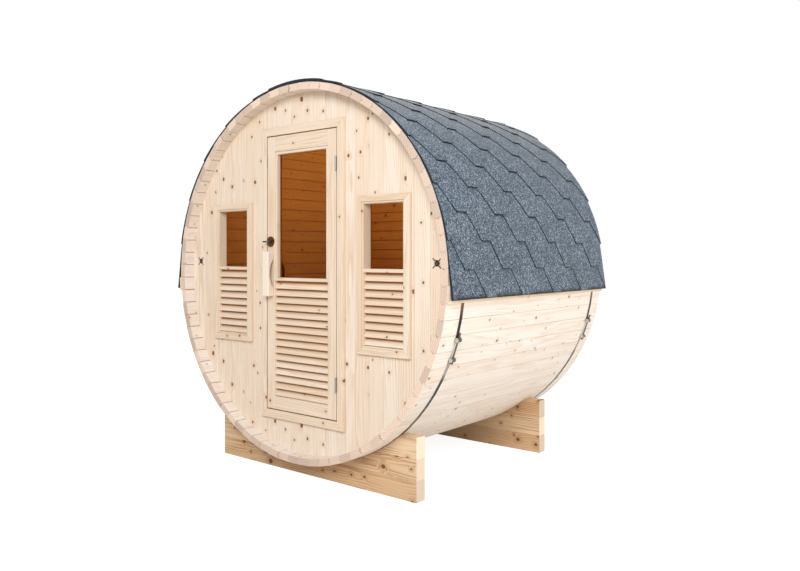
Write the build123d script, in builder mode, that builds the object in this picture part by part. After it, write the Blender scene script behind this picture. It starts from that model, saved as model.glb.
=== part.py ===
# A barrel sauna for the garden: a round timber room that lies on two cradles.
# Millimetres. +Z is up, the door faces -Y, and the barrel's axis runs along Y.
# The origin is on the ground, under the middle of the barrel.
import os
from math import acos, atan2, cos, degrees, hypot, radians, sin, sqrt, tan

from build123d import *

# The barrel and its staves
barrel_radius = 950.0
barrel_length = 1500.0
ground_clearance = 85.0
staves_per_group = 10
stave_thickness = 36.0
stave_joint_gap = 0.4
tongue_width = 11.0
tongue_depth = 6.0
tongue_taper = 1.5
tongue_clearance = 0.5

# The two end walls, set in grooves inside the staves
wall_recess = 65.0
wall_thickness = 40.0
groove_depth = 8.0
groove_clearance = 0.3
panel_gap = 0.3

# The doorway and its frame
leaf_width = 500.0
leaf_height = 1418.0
leaf_thickness = 40.0
door_gap = 5.0
lining_thickness = 18.0
casing_width = 44.0
casing_thickness = 16.0
casing_arris = 1.5
stop_reach = 12.0
joinery_gap = 0.3

# The door leaf
stile_width = 56.0
top_rail_height = 79.0
bottom_rail_height = 67.0
middle_rail_height = 16.0
middle_rail_top = -25.0
bead_width = 15.0
bead_setback = 4.0
glass_setback = 28.0
glass_thickness = 4.0
glass_clearance = 0.5
door_slat_count = 16

# Louvre slats of the door and the windows
slat_thickness = 8.0
slat_width = 44.0
slat_tilt = 26.0
slat_setback = 4.0

# The pull handles, one on each face of the leaf
handle_height = 234.0
handle_depth = 40.0
handle_width = 44.0
handle_drop = 5.0
finger_length = 152.0
finger_depth = 26.0
handle_rounding = 5.0
inner_handle_clearance = 10.0

# The lock rosettes and the thumb-turn
lock_height = 162.0
rosette_radius = 27.0
inner_rosette_radius = 16.0
rosette_thickness = 6.0
turn_clearance = 0.3
turn_hub_radius = 7.0
turn_standoff = 24.0
turn_bar_radius = 4.0
turn_length = 36.0
turn_hub_overhang = 1.0

# Butt hinges and the catch plates opposite them
hinge_height = 72.0
hinge_level = 537.0
knuckle_radius = 4.5
knuckle_proud = 5.0
knuckle_gap = 0.3
knuckle_count = 3
pin_radius = 2.5
pin_clearance = 0.08
hinge_plate_thickness = 1.5
hinge_plate_reach = 30.0
hinge_plate_relief = 5.5
catch_height = 48.0
catch_level = 577.0
catch_thickness = 1.5
catch_depth = 22.0

# The two windows
window_offset = 545.0
window_opening_width = 240.0
window_opening_height = 668.0
window_casing_width = 40.0
window_step_width = 9.0
window_step_depth = 5.0
window_lining_thickness = 12.0
window_lining_overhang = 8.0
window_glass_setback = 55.0
window_bar_height = 16.0
window_bar_depth = 50.0
window_bar_top = 28.0
window_slat_count = 9

# The two vents and their crossed guards
vent_inset = 67.0
vent_height = 57.0
vent_radius = 15.0
guard_length = 64.0
guard_width = 7.0
guard_thickness = 2.0
guard_hub_radius = 8.0

# Hoops that bind the staves, each with a screw tensioner
band_width = 20.0
band_thickness = 1.2
band_clearance = 0.2
front_hoop_inset = 122.0
rear_hoop_inset = 105.0
upper_lug_angle = -16.8
lower_lug_angle = -22.5
lug_sides = 8
lug_radius = 11.0
lug_length = 27.0
lug_sink = 1.0
screw_sides = 12
screw_radius = 4.0
screw_upper_end = 34.0
screw_lower_end = 20.0
nut_radius = 8.0
nut_height = 7.0

# The roof covering and the battens under its eaves
underlay_band_clearance = 0.47
underlay_thickness = 3.0
underlay_clearance = 0.35
shingle_butt = 9.4
shingle_head = 6.2
shingle_joint = 0.3
shingle_facets = 3
course_count = 11
ridge_cap_width = 380.0
ridge_cap_thickness = 11.4
eave_level = -100.0
roof_setback = 2.0
batten_width = 74.0
batten_thickness = 12.0
batten_clearance = 0.3
batten_notch_clearance = 0.5

# The cradles
cradle_lip = 94.3
cradle_height = 297.0
cradle_thickness = 62.0
front_cradle_inset = 115.0
rear_cradle_inset = 191.0
cradle_clearance = 0.2
cradle_arris = 3.0

# The floor inside
floor_rise = 189.0
floor_board_count = 8
floor_board_thickness = 24.0
floor_board_gap = 8.0
floor_side_gap = 9.0
floor_end_gap = 3.0
bearer_count = 3
bearer_thickness = 45.0
bearer_end_inset = 180.0
bearer_clearance = 0.3

# Groups of staves, clockwise from the top as seen from the door
group_names = [
    "staves_top", "staves_upper_right", "staves_right", "staves_lower_right",
    "staves_bottom", "staves_lower_left", "staves_left", "staves_upper_left",
]

# Places that follow from the sizes above
front_end = -barrel_length / 2
rear_end = barrel_length / 2
stave_count = staves_per_group * len(group_names)
stave_step = 360.0 / stave_count
half_stave = radians(stave_step / 2)
axis_height = barrel_radius + ground_clearance
stave_inner_radius = barrel_radius - stave_thickness
corner_radius = barrel_radius / cos(half_stave)
groove_radius = stave_inner_radius + groove_depth
wall_radius = groove_radius - groove_clearance
front_wall_face = front_end + wall_recess
front_wall_back = front_wall_face + wall_thickness
rear_wall_face = rear_end - wall_recess
rear_wall_back = rear_wall_face - wall_thickness
leaf_front = front_wall_face - casing_thickness
leaf_back = leaf_front + leaf_thickness
half_leaf_width = leaf_width / 2
half_leaf_height = leaf_height / 2
doorway_half_width = half_leaf_width + door_gap
doorway_half_height = half_leaf_height + door_gap
door_hole_half_width = doorway_half_width + lining_thickness + panel_gap
door_hole_half_height = doorway_half_height + lining_thickness + panel_gap
window_hole_half_width = window_opening_width / 2 + window_lining_thickness + panel_gap
window_hole_half_height = window_opening_height / 2 + window_lining_thickness + panel_gap
band_inner_apothem = barrel_radius + band_clearance
band_outer_apothem = band_inner_apothem + band_thickness
band_outer_radius = band_outer_apothem / cos(half_stave)
front_hoop_y = front_end + front_hoop_inset
rear_hoop_y = rear_end - rear_hoop_inset
stile_centre = half_leaf_width - stile_width / 2
vent_offset = stave_inner_radius - vent_inset
hinge_x = half_leaf_width + door_gap / 2
hinge_y = leaf_front - knuckle_proud

os.makedirs("parts", exist_ok=True)


def upright(y):
    """A plane across the barrel at y, centred on its axis, that looks to the front."""
    return Plane(origin=(0, y, axis_height), x_dir=(1, 0, 0), z_dir=(0, -1, 0))


def lengthwise(x):
    """A plane along the barrel at x, level with its axis, with +Y to its right."""
    return Plane(origin=(x, 0, axis_height), x_dir=(0, 1, 0), z_dir=(1, 0, 0))


def save(piece, name):
    """Labels a finished piece and writes it."""
    piece.part.label = name
    export_step(piece.part, f"parts/{name}.step")


def stave_outline():
    """Corners of the top stave, with its tongue on the right and its groove on the left."""

    def half_width(radius):
        return radius * tan(half_stave) - stave_joint_gap / 2

    middle = stave_inner_radius + stave_thickness / 2
    low = middle - tongue_width / 2
    high = middle + tongue_width / 2
    slot_low = low - tongue_clearance
    slot_high = high + tongue_clearance
    slot_depth = tongue_depth + tongue_clearance
    return [
        (-half_width(stave_inner_radius), stave_inner_radius),
        (half_width(stave_inner_radius), stave_inner_radius),
        (half_width(low), low),
        (half_width(low) + tongue_depth, low + tongue_taper),
        (half_width(high) + tongue_depth, high - tongue_taper),
        (half_width(high), high),
        (half_width(barrel_radius), barrel_radius),
        (-half_width(barrel_radius), barrel_radius),
        (-half_width(slot_high), slot_high),
        (-half_width(slot_high) + slot_depth, slot_high - tongue_taper),
        (-half_width(slot_low) + slot_depth, slot_low + tongue_taper),
        (-half_width(slot_low), slot_low),
    ]


def stave_ring(apothem, mode=Mode.ADD):
    """Draws the polygon whose sides lie along the staves, in the open sketch."""
    RegularPolygon(apothem, stave_count, major_radius=False, rotation=90 + stave_step / 2, mode=mode)


# Staves, one of them exactly at the top, with a groove across each end for the end walls
outline = stave_outline()
for group, group_name in enumerate(group_names):
    first = group * staves_per_group - staves_per_group // 2
    with BuildPart() as staves:
        with BuildSketch(upright(rear_end)):
            for place in range(first, first + staves_per_group):
                with Locations(Rotation(0, 0, -place * stave_step)):
                    Polygon(*outline, align=None)
        extrude(amount=barrel_length)
        for groove_back in (front_wall_back, rear_wall_face):
            with BuildSketch(upright(groove_back + groove_clearance)):
                stave_ring(groove_radius)
            extrude(amount=wall_thickness + 2 * groove_clearance, mode=Mode.SUBTRACT)
    save(staves, group_name)

# End wall at the back: one panel of matched boards, cut to the staves all round
with BuildPart() as rear_wall:
    with BuildSketch(upright(rear_wall_face)):
        stave_ring(wall_radius)
    extrude(amount=wall_thickness)
save(rear_wall, "rear_wall")


def panel(left, right, low, high, mode=Mode.ADD):
    """Draws a rectangle between two sides and two heights in the open sketch."""
    with Locations(((left + right) / 2, (low + high) / 2)):
        Rectangle(right - left, high - low, mode=mode)


# The front wall beside the doorway: boards outside, inside, above and below each window
for side, name in ((-1, "front_wall_left"), (1, "front_wall_right")):
    window_inner = window_offset - window_hole_half_width
    window_outer = window_offset + window_hole_half_width
    with BuildPart() as wall_side:
        with BuildSketch(upright(front_wall_back)):
            for near, far, low, high in (
                (door_hole_half_width, window_inner, -wall_radius, wall_radius),
                (window_inner + panel_gap, window_outer - panel_gap, window_hole_half_height, wall_radius),
                (window_inner + panel_gap, window_outer - panel_gap, -wall_radius, -window_hole_half_height),
                (window_outer, wall_radius, -wall_radius, wall_radius),
            ):
                panel(min(side * near, side * far), max(side * near, side * far), low, high)
            with Locations((side * vent_offset, vent_height)):
                Circle(vent_radius, mode=Mode.SUBTRACT)
            stave_ring(wall_radius, mode=Mode.INTERSECT)
        extrude(amount=wall_thickness)
    save(wall_side, name)

# The front wall above and below the doorway
for name, low, high in (
    ("front_wall_over_door", door_hole_half_height, wall_radius),
    ("front_wall_under_door", -wall_radius, -door_hole_half_height),
):
    with BuildPart() as wall_piece:
        with BuildSketch(upright(front_wall_back)):
            panel(-door_hole_half_width + panel_gap, door_hole_half_width - panel_gap, low, high)
            stave_ring(wall_radius, mode=Mode.INTERSECT)
        extrude(amount=wall_thickness)
    save(wall_piece, name)


def mitred_ring(half_width, half_height, board_width):
    """Draws four mitred boards round an opening in the open sketch."""
    outer_width = half_width + board_width
    outer_height = half_height + board_width
    for side in (-1, 1):
        Polygon(
            (-half_width + joinery_gap, side * half_height),
            (half_width - joinery_gap, side * half_height),
            (outer_width - joinery_gap, side * outer_height),
            (-outer_width + joinery_gap, side * outer_height),
            align=None,
        )
        Polygon(
            (side * half_width, -half_height + joinery_gap),
            (side * half_width, half_height - joinery_gap),
            (side * outer_width, outer_height - joinery_gap),
            (side * outer_width, -outer_height + joinery_gap),
            align=None,
        )


def butted_ring(half_width, half_height, board_thickness):
    """Draws two full-height sides with a head and a sill between them in the open sketch."""
    for side in (-1, 1):
        with Locations((side * (half_width + board_thickness / 2), 0)):
            Rectangle(board_thickness, 2 * (half_height + board_thickness))
        with Locations((0, side * (half_height + board_thickness / 2))):
            Rectangle(2 * (half_width - joinery_gap), board_thickness)


# The casing on the face of the front wall, round the doorway
with BuildPart() as door_casing:
    with BuildSketch(upright(front_wall_face)):
        mitred_ring(doorway_half_width, doorway_half_height, casing_width)
    extrude(amount=casing_thickness)
    face_edges = door_casing.edges().group_by(Axis.Y)[0]
    chamfer(face_edges.filter_by(Axis.X) + face_edges.filter_by(Axis.Z), casing_arris)
save(door_casing, "door_casing")

# The lining of the doorway, with the stops that the leaf shuts against
stop_front = leaf_back + door_gap
with BuildPart() as door_frame:
    with BuildSketch(upright(front_wall_back)):
        butted_ring(doorway_half_width, doorway_half_height, lining_thickness)
    extrude(amount=wall_thickness - joinery_gap)
    with BuildSketch(upright(front_wall_back)):
        butted_ring(
            doorway_half_width - stop_reach,
            doorway_half_height - stop_reach,
            stop_reach - joinery_gap,
        )
    extrude(amount=front_wall_back - stop_front)
save(door_frame, "door_frame")

# Catch plates in the gap on the side away from the hinges
with BuildPart() as catch_plates:
    with BuildSketch(upright(leaf_front + catch_depth)):
        with Locations(
            (-doorway_half_width + catch_thickness / 2, catch_level),
            (-doorway_half_width + catch_thickness / 2, -catch_level),
        ):
            Rectangle(catch_thickness, catch_height)
    extrude(amount=catch_depth)
save(catch_plates, "catch_plates")

# Door leaf: two stiles, three rails between them
glazing_top = half_leaf_height - top_rail_height
louvre_top = middle_rail_top - middle_rail_height
louvre_bottom = -half_leaf_height + bottom_rail_height
rail_half_width = half_leaf_width - stile_width
with BuildPart() as door_stiles:
    with BuildSketch(upright(leaf_back)):
        with Locations((-stile_centre, 0), (stile_centre, 0)):
            Rectangle(stile_width, leaf_height)
    extrude(amount=leaf_thickness)
save(door_stiles, "door_stiles")

with BuildPart() as door_rails:
    with BuildSketch(upright(leaf_back)):
        for low, high in (
            (glazing_top, half_leaf_height),
            (louvre_top, middle_rail_top),
            (-half_leaf_height, louvre_bottom),
        ):
            panel(-rail_half_width, rail_half_width, low, high)
    extrude(amount=leaf_thickness)
save(door_rails, "door_rails")

# The pane between the top and middle rails, with beads on both faces
glass_front = leaf_front + glass_setback
glass_back = glass_front + glass_thickness
pane_middle = (glazing_top + middle_rail_top) / 2
pane_half_height = (glazing_top - middle_rail_top) / 2
with BuildPart() as door_glass:
    with BuildSketch(upright(glass_back)):
        with Locations((0, pane_middle)):
            Rectangle(
                2 * (rail_half_width - glass_clearance),
                2 * (pane_half_height - glass_clearance),
            )
    extrude(amount=glass_thickness)
save(door_glass, "door_glass")

with BuildPart() as door_beads:
    for bead_back, bead_front in (
        (glass_front - joinery_gap, leaf_front + bead_setback),
        (leaf_back, glass_back + joinery_gap),
    ):
        with BuildSketch(upright(bead_back)):
            for side in (-1, 1):
                with Locations((side * (rail_half_width - bead_width / 2), pane_middle)):
                    Rectangle(bead_width, 2 * (pane_half_height - joinery_gap))
            with Locations((0, glazing_top - bead_width / 2)):
                Rectangle(2 * (rail_half_width - bead_width - joinery_gap), bead_width)
        extrude(amount=bead_back - bead_front)
save(door_beads, "door_beads")


def louvre(centre_x, half_length, front, top, bottom, count):
    """Level slats that lean back at their tops, spread evenly from top to bottom."""
    reach = slat_width * sin(radians(slat_tilt)) + slat_thickness * cos(radians(slat_tilt))
    rise = slat_width * cos(radians(slat_tilt)) + slat_thickness * sin(radians(slat_tilt))
    first = top - joinery_gap - rise / 2
    pitch = (top - bottom - 2 * joinery_gap - rise) / (count - 1)
    middle_y = front + slat_setback + reach / 2
    with BuildPart() as slats:
        with BuildSketch(lengthwise(centre_x)):
            with Locations(*[(middle_y, first - place * pitch) for place in range(count)]):
                Rectangle(slat_thickness, slat_width, rotation=-slat_tilt)
        extrude(amount=half_length - joinery_gap, both=True)
    return slats


door_slats = louvre(0, rail_half_width, leaf_front, louvre_top, louvre_bottom, door_slat_count)
save(door_slats, "door_slats")


# Pull handles, each with a curved finger hollow next to the leaf
finger_radius = ((finger_length / 2) ** 2 + finger_depth**2) / (2 * finger_depth)
inner_handle_x = handle_width / 2 + inner_handle_clearance + stop_reach - doorway_half_width
for name, face, outward, handle_x in (
    ("outer_handle", leaf_front, -1, -stile_centre),
    ("inner_handle", leaf_back, 1, inner_handle_x),
):
    with BuildPart() as handle:
        with BuildSketch(lengthwise(handle_x)):
            with Locations((face + outward * handle_depth / 2, -handle_drop)):
                Rectangle(handle_depth, handle_height)
            with Locations((face + outward * (finger_depth - finger_radius), -handle_drop)):
                Circle(finger_radius, mode=Mode.SUBTRACT)
        extrude(amount=handle_width / 2, both=True)
        outer_face = handle.faces().sort_by(Axis.Y)[0 if outward < 0 else -1]
        fillet(outer_face.edges(), handle_rounding)
    save(handle, name)

# Lock rosettes on both faces of the left stile
with BuildPart() as lock_rosettes:
    with BuildSketch(upright(leaf_front)):
        with Locations((-stile_centre, lock_height)):
            Circle(rosette_radius)
    extrude(amount=rosette_thickness)
    with BuildSketch(upright(leaf_back)):
        with Locations((-stile_centre, lock_height)):
            Circle(inner_rosette_radius)
    extrude(amount=-rosette_thickness)
save(lock_rosettes, "lock_rosettes")

# The thumb-turn, whose bar points away from the hinges
turn_back = leaf_front - rosette_thickness - turn_clearance
turn_axis_y = leaf_front - turn_standoff
turn_front = turn_axis_y - turn_bar_radius - turn_hub_overhang
with BuildPart() as latch_turn:
    with BuildSketch(upright(turn_back)):
        with Locations((-stile_centre, lock_height)):
            Circle(turn_hub_radius)
    extrude(amount=turn_back - turn_front)
    with BuildSketch(lengthwise(-stile_centre)):
        with Locations((turn_axis_y, lock_height)):
            Circle(turn_bar_radius)
    extrude(amount=-turn_length)
save(latch_turn, "latch_turn")


def hinge_half(plate_inner, plate_outer, knuckle_spans, has_pin):
    """Plates and knuckles of one half of both hinges, with the pin or a bore for it."""
    with BuildPart() as half:
        for level in (-hinge_level, hinge_level):
            bottom = axis_height + level - hinge_height / 2
            with BuildSketch(Plane.XY.offset(bottom)):
                with Locations(((plate_inner + plate_outer) / 2,
                                hinge_y + (hinge_plate_relief + hinge_plate_reach) / 2)):
                    Rectangle(plate_outer - plate_inner, hinge_plate_reach - hinge_plate_relief)
            extrude(amount=hinge_height)
            for low, high in knuckle_spans:
                with BuildSketch(Plane.XY.offset(bottom + low)):
                    with Locations((hinge_x, hinge_y)):
                        Circle(knuckle_radius)
                    with Locations(((plate_inner + plate_outer) / 2, hinge_y + hinge_plate_relief / 2)):
                        Rectangle(plate_outer - plate_inner, hinge_plate_relief)
                    if not has_pin:
                        with Locations((hinge_x, hinge_y)):
                            Circle(pin_radius + pin_clearance, mode=Mode.SUBTRACT)
                extrude(amount=high - low)
            if has_pin:
                with BuildSketch(Plane.XY.offset(bottom)):
                    with Locations((hinge_x, hinge_y)):
                        Circle(pin_radius)
                extrude(amount=hinge_height)
    return half


# The door half carries the middle knuckle, the frame half the pin and the other two
knuckle_height = hinge_height / knuckle_count
door_hinges = hinge_half(
    half_leaf_width,
    half_leaf_width + hinge_plate_thickness,
    [(knuckle_height + knuckle_gap, hinge_height - knuckle_height - knuckle_gap)],
    has_pin=False,
)
save(door_hinges, "door_hinges")
frame_hinges = hinge_half(
    doorway_half_width - hinge_plate_thickness,
    doorway_half_width,
    [(0, knuckle_height), (hinge_height - knuckle_height, hinge_height)],
    has_pin=True,
)
save(frame_hinges, "frame_hinges")

# Windows: a stepped casing, a lining and a bar, a pane above the bar and a louvre below it
window_half_width = window_opening_width / 2
window_half_height = window_opening_height / 2
window_lining_back = front_wall_back + window_lining_overhang
window_glass_front = leaf_front + window_glass_setback
window_glass_bottom = window_bar_top + glass_clearance
for side, word in ((-1, "left"), (1, "right")):
    centre = side * window_offset
    with BuildPart() as window_frame:
        with BuildSketch(upright(front_wall_face)):
            with Locations((centre, 0)):
                mitred_ring(window_half_width, window_half_height, window_casing_width)
        extrude(amount=casing_thickness)
        with BuildSketch(upright(leaf_front + window_step_depth)):
            with Locations((centre, 0)):
                Rectangle(
                    window_opening_width + 2 * window_step_width,
                    window_opening_height + 2 * window_step_width,
                )
        extrude(amount=window_step_depth, mode=Mode.SUBTRACT)
        with BuildSketch(upright(window_lining_back)):
            with Locations((centre, 0)):
                butted_ring(window_half_width, window_half_height, window_lining_thickness)
        extrude(amount=wall_thickness + window_lining_overhang - joinery_gap)
        with BuildSketch(upright(leaf_front + window_step_depth + window_bar_depth)):
            panel(
                centre - window_half_width + joinery_gap,
                centre + window_half_width - joinery_gap,
                window_bar_top - window_bar_height,
                window_bar_top,
            )
        extrude(amount=window_bar_depth)
    save(window_frame, f"{word}_window_frame")

    pane_low = window_glass_bottom
    pane_high = window_half_height - glass_clearance
    with BuildPart() as window_glass:
        with BuildSketch(upright(window_glass_front + glass_thickness)):
            panel(
                centre - window_half_width + glass_clearance,
                centre + window_half_width - glass_clearance,
                pane_low,
                pane_high,
            )
        extrude(amount=glass_thickness)
    save(window_glass, f"{word}_window_glass")

    window_slats = louvre(
        centre,
        window_half_width,
        leaf_front + window_step_depth,
        window_bar_top - window_bar_height,
        -window_half_height,
        window_slat_count,
    )
    save(window_slats, f"{word}_window_slats")

# Crossed steel guards over the vent holes
with BuildPart() as vent_guards:
    with BuildSketch(upright(front_wall_face)):
        for side in (-1, 1):
            with Locations((side * vent_offset, vent_height)):
                Rectangle(guard_length, guard_width, rotation=45)
                Rectangle(guard_length, guard_width, rotation=-45)
                Circle(guard_hub_radius)
    extrude(amount=guard_thickness)
save(vent_guards, "vent_guards")


def around(radius, angle):
    """A point in the barrel's cross-section at this radius and angle in degrees."""
    return (radius * cos(radians(angle)), radius * sin(radians(angle)))


def make_hoop(name, y):
    """A steel band with a lug at each end and the screw that draws the lugs together."""
    lug_apothem = lug_radius * cos(radians(180 / lug_sides))
    lug_turn = (upper_lug_angle + lower_lug_angle) / 2 + 180 / lug_sides
    lug_centre_radius = band_outer_radius + lug_apothem - lug_sink
    upper = around(lug_centre_radius, upper_lug_angle)
    lower = around(lug_centre_radius, lower_lug_angle)
    reach = hypot(upper[0] - lower[0], upper[1] - lower[1])
    far = 2 * barrel_radius
    screw_plane = Plane(
        origin=(lower[0], y, axis_height + lower[1]),
        x_dir=(0, 1, 0),
        z_dir=(upper[0] - lower[0], 0, upper[1] - lower[1]),
    )
    with BuildPart() as hoop:
        with BuildSketch(upright(y + band_width / 2)):
            stave_ring(band_outer_apothem)
            stave_ring(band_inner_apothem, mode=Mode.SUBTRACT)
            Polygon(
                (0, 0),
                around(far, lower_lug_angle),
                around(far, upper_lug_angle),
                align=None,
                mode=Mode.SUBTRACT,
            )
        extrude(amount=band_width)
        with BuildSketch(upright(y + lug_length / 2)):
            with Locations(upper, lower):
                RegularPolygon(lug_radius, lug_sides, rotation=lug_turn)
        extrude(amount=lug_length)
        with BuildSketch(screw_plane.offset(-screw_lower_end)):
            RegularPolygon(screw_radius, screw_sides)
        extrude(amount=reach + screw_lower_end + screw_upper_end)
        for nut_start in (-lug_apothem - nut_height, reach + lug_apothem):
            with BuildSketch(screw_plane.offset(nut_start)):
                RegularPolygon(nut_radius, 6)
            extrude(amount=nut_height)
    save(hoop, name)


make_hoop("front_hoop", front_hoop_y)
make_hoop("rear_hoop", rear_hoop_y)

# Battens that lift the lower edge of the roof covering clear of the staves
batten_angle = -stave_step
batten_centre_radius = barrel_radius + batten_clearance + batten_thickness / 2
with BuildPart() as eave_battens:
    with BuildSketch(upright(rear_end)):
        for turn in (batten_angle, 180 - batten_angle):
            with Locations(Rotation(0, 0, turn)):
                with Locations((batten_centre_radius, 0)):
                    Rectangle(batten_thickness, batten_width)
    extrude(amount=barrel_length)
    for hoop_y in (front_hoop_y, rear_hoop_y):
        with BuildSketch(upright(hoop_y + band_width / 2 + batten_notch_clearance)):
            Circle(band_outer_radius + batten_notch_clearance)
        extrude(amount=band_width + 2 * batten_notch_clearance, mode=Mode.SUBTRACT)
save(eave_battens, "eave_battens")

# The roof covering hugs the barrel, then runs straight down over each batten
underlay_inner_radius = band_outer_radius + underlay_band_clearance
batten_lip_radius = hypot(barrel_radius + batten_clearance + batten_thickness, batten_width / 2)
batten_lip_angle = batten_angle + degrees(
    atan2(batten_width / 2, barrel_radius + batten_clearance + batten_thickness)
)
flare_angle = batten_lip_angle + degrees(acos(underlay_inner_radius / (batten_lip_radius + batten_clearance)))
flare_length = (underlay_inner_radius * sin(radians(flare_angle)) - eave_level) / cos(radians(flare_angle))
slope_length = flare_length + radians(90 - flare_angle) * underlay_inner_radius
course_height = (slope_length - ridge_cap_width / 2) / course_count


def roof_point(along, radius):
    """A point of the right slope: along is measured up the roof from its eave."""
    past_flare = along - flare_length
    if past_flare >= 0:
        return around(radius, flare_angle + degrees(past_flare / underlay_inner_radius))
    start = around(radius, flare_angle)
    return (
        start[0] - past_flare * sin(radians(flare_angle)),
        start[1] + past_flare * cos(radians(flare_angle)),
    )


underlay_outer_radius = underlay_inner_radius + underlay_thickness
with BuildPart() as roof_underlay:
    with BuildSketch(upright(rear_end - roof_setback)):
        with BuildLine():
            for radius in (underlay_inner_radius, underlay_outer_radius):
                left_end = around(radius, 180 - flare_angle)
                right_end = around(radius, flare_angle)
                ThreePointArc(right_end, (0, radius), left_end)
                eave_x, eave_z = roof_point(0, radius)
                Line(right_end, (eave_x, eave_z))
                Line(left_end, (-eave_x, eave_z))
            for side in (-1, 1):
                inner_x, inner_z = roof_point(0, underlay_inner_radius)
                outer_x, outer_z = roof_point(0, underlay_outer_radius)
                Line((side * inner_x, inner_z), (side * outer_x, outer_z))
        make_face()
    extrude(amount=barrel_length - 2 * roof_setback)
save(roof_underlay, "roof_underlay")

# Shingle courses: each is thickest at its lower edge, and thins where the next one covers it
shingle_base = underlay_outer_radius + underlay_clearance
for side, name in ((-1, "shingles_left"), (1, "shingles_right")):
    with BuildPart() as shingles:
        with BuildSketch(upright(rear_end - roof_setback)):
            for course in range(course_count):
                low = course * course_height
                high = low + course_height - shingle_joint
                stations = [
                    low + (high - low) * facet / shingle_facets for facet in range(shingle_facets + 1)
                ]
                if low < flare_length < high:
                    stations = sorted(stations + [flare_length])
                inner = [roof_point(along, shingle_base) for along in stations]
                outer = []
                for along in stations:
                    share = (along - low) / (high - low)
                    thickness = shingle_butt + (shingle_head - shingle_butt) * share
                    outer.append(roof_point(along, shingle_base + thickness))
                corners = inner + outer[::-1]
                Polygon(*[(side * x, z) for x, z in corners], align=None)
        extrude(amount=barrel_length - 2 * roof_setback)
    save(shingles, name)

ridge_half_angle = degrees(ridge_cap_width / 2 / underlay_inner_radius)
with BuildPart() as ridge_cap:
    with BuildSketch(upright(rear_end - roof_setback)):
        with BuildLine():
            cap_top = shingle_base + ridge_cap_thickness
            ends = []
            for radius in (shingle_base, cap_top):
                right_end = around(radius, 90 - ridge_half_angle)
                left_end = around(radius, 90 + ridge_half_angle)
                ThreePointArc(right_end, (0, radius), left_end)
                ends.append((right_end, left_end))
            Line(ends[0][0], ends[1][0])
            Line(ends[0][1], ends[1][1])
        make_face()
    extrude(amount=barrel_length - 2 * roof_setback)
save(ridge_cap, "ridge_cap")

# Cradles: thick planks with a round seat for the staves and a rebate for the front hoop
saddle_radius = corner_radius + cradle_clearance
seat_half_chord = sqrt(saddle_radius**2 - (axis_height - cradle_height) ** 2)
cradle_half_width = seat_half_chord + cradle_lip
for name, front_y in (
    ("front_cradle", front_end + front_cradle_inset),
    ("rear_cradle", rear_end - rear_cradle_inset - cradle_thickness),
):
    with BuildPart() as cradle:
        with BuildSketch(upright(front_y + cradle_thickness)):
            panel(-cradle_half_width, cradle_half_width, -axis_height, cradle_height - axis_height)
            Circle(saddle_radius, mode=Mode.SUBTRACT)
        extrude(amount=cradle_thickness)
        outer_edges = cradle.edges().filter_by(Axis.Z)
        chamfer(outer_edges, cradle_arris)
        for hoop_y in (front_hoop_y, rear_hoop_y):
            with BuildSketch(upright(hoop_y + band_width / 2 + batten_notch_clearance)):
                Circle(band_outer_radius + cradle_clearance)
            extrude(amount=band_width + 2 * batten_notch_clearance, mode=Mode.SUBTRACT)
    save(cradle, name)

# Floor: boards along the barrel on three bearers that follow the staves
floor_level = floor_rise - stave_inner_radius
floor_underside = floor_level - floor_board_thickness
floor_width = 2 * (sqrt(stave_inner_radius**2 - floor_underside**2) - floor_side_gap)
board_width = (floor_width - (floor_board_count - 1) * floor_board_gap) / floor_board_count
with BuildPart() as floor_boards:
    with BuildSketch(upright(rear_wall_back - floor_end_gap)):
        for place in range(floor_board_count):
            start = -floor_width / 2 + place * (board_width + floor_board_gap)
            panel(start, start + board_width, floor_underside, floor_level)
    extrude(amount=rear_wall_back - front_wall_back - 2 * floor_end_gap)
save(floor_boards, "floor_boards")

bearer_radius = stave_inner_radius - bearer_clearance
bearer_run = rear_wall_back - front_wall_back - 2 * bearer_end_inset
with BuildPart() as floor_bearers:
    for place in range(bearer_count):
        middle = front_wall_back + bearer_end_inset + place * bearer_run / (bearer_count - 1)
        with BuildSketch(upright(middle + bearer_thickness / 2)):
            stave_ring(bearer_radius)
            panel(-barrel_radius, barrel_radius, floor_underside, barrel_radius, mode=Mode.SUBTRACT)
        extrude(amount=bearer_thickness)
save(floor_bearers, "floor_bearers")
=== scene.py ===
"""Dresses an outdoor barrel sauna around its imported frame.

The frame is the CAD model: every board, stave and shingle that is made here stands where its CAD node
stands. Sizes are in millimetres, as a joiner writes them, and become metres when a mesh is made.
+Z is up, the door faces -Y, and the barrel's axis lies along Y at the height AXIS.
"""

import logging
import math
from dataclasses import dataclass, field
from enum import Enum
from functools import partial
from typing import Sequence

import bmesh
import bpy
import numpy as np
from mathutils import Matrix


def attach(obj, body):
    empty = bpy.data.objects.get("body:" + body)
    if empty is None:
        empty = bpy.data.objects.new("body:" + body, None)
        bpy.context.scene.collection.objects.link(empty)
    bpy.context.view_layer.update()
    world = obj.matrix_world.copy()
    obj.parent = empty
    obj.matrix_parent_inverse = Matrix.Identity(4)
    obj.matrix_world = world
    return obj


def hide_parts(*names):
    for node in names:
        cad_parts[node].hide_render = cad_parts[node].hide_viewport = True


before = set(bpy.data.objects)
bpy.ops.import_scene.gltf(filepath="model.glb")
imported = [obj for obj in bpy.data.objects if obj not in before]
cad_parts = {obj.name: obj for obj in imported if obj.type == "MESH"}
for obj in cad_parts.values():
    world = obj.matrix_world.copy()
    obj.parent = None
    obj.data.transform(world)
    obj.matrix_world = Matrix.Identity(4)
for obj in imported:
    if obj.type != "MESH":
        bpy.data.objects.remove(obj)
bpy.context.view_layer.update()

LOG = logging.getLogger("sauna")
DRAWS = np.random.default_rng(4180)
MM = 0.001
AXIS = 1035.0
FRONT, REAR = -750.0, 750.0
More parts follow.
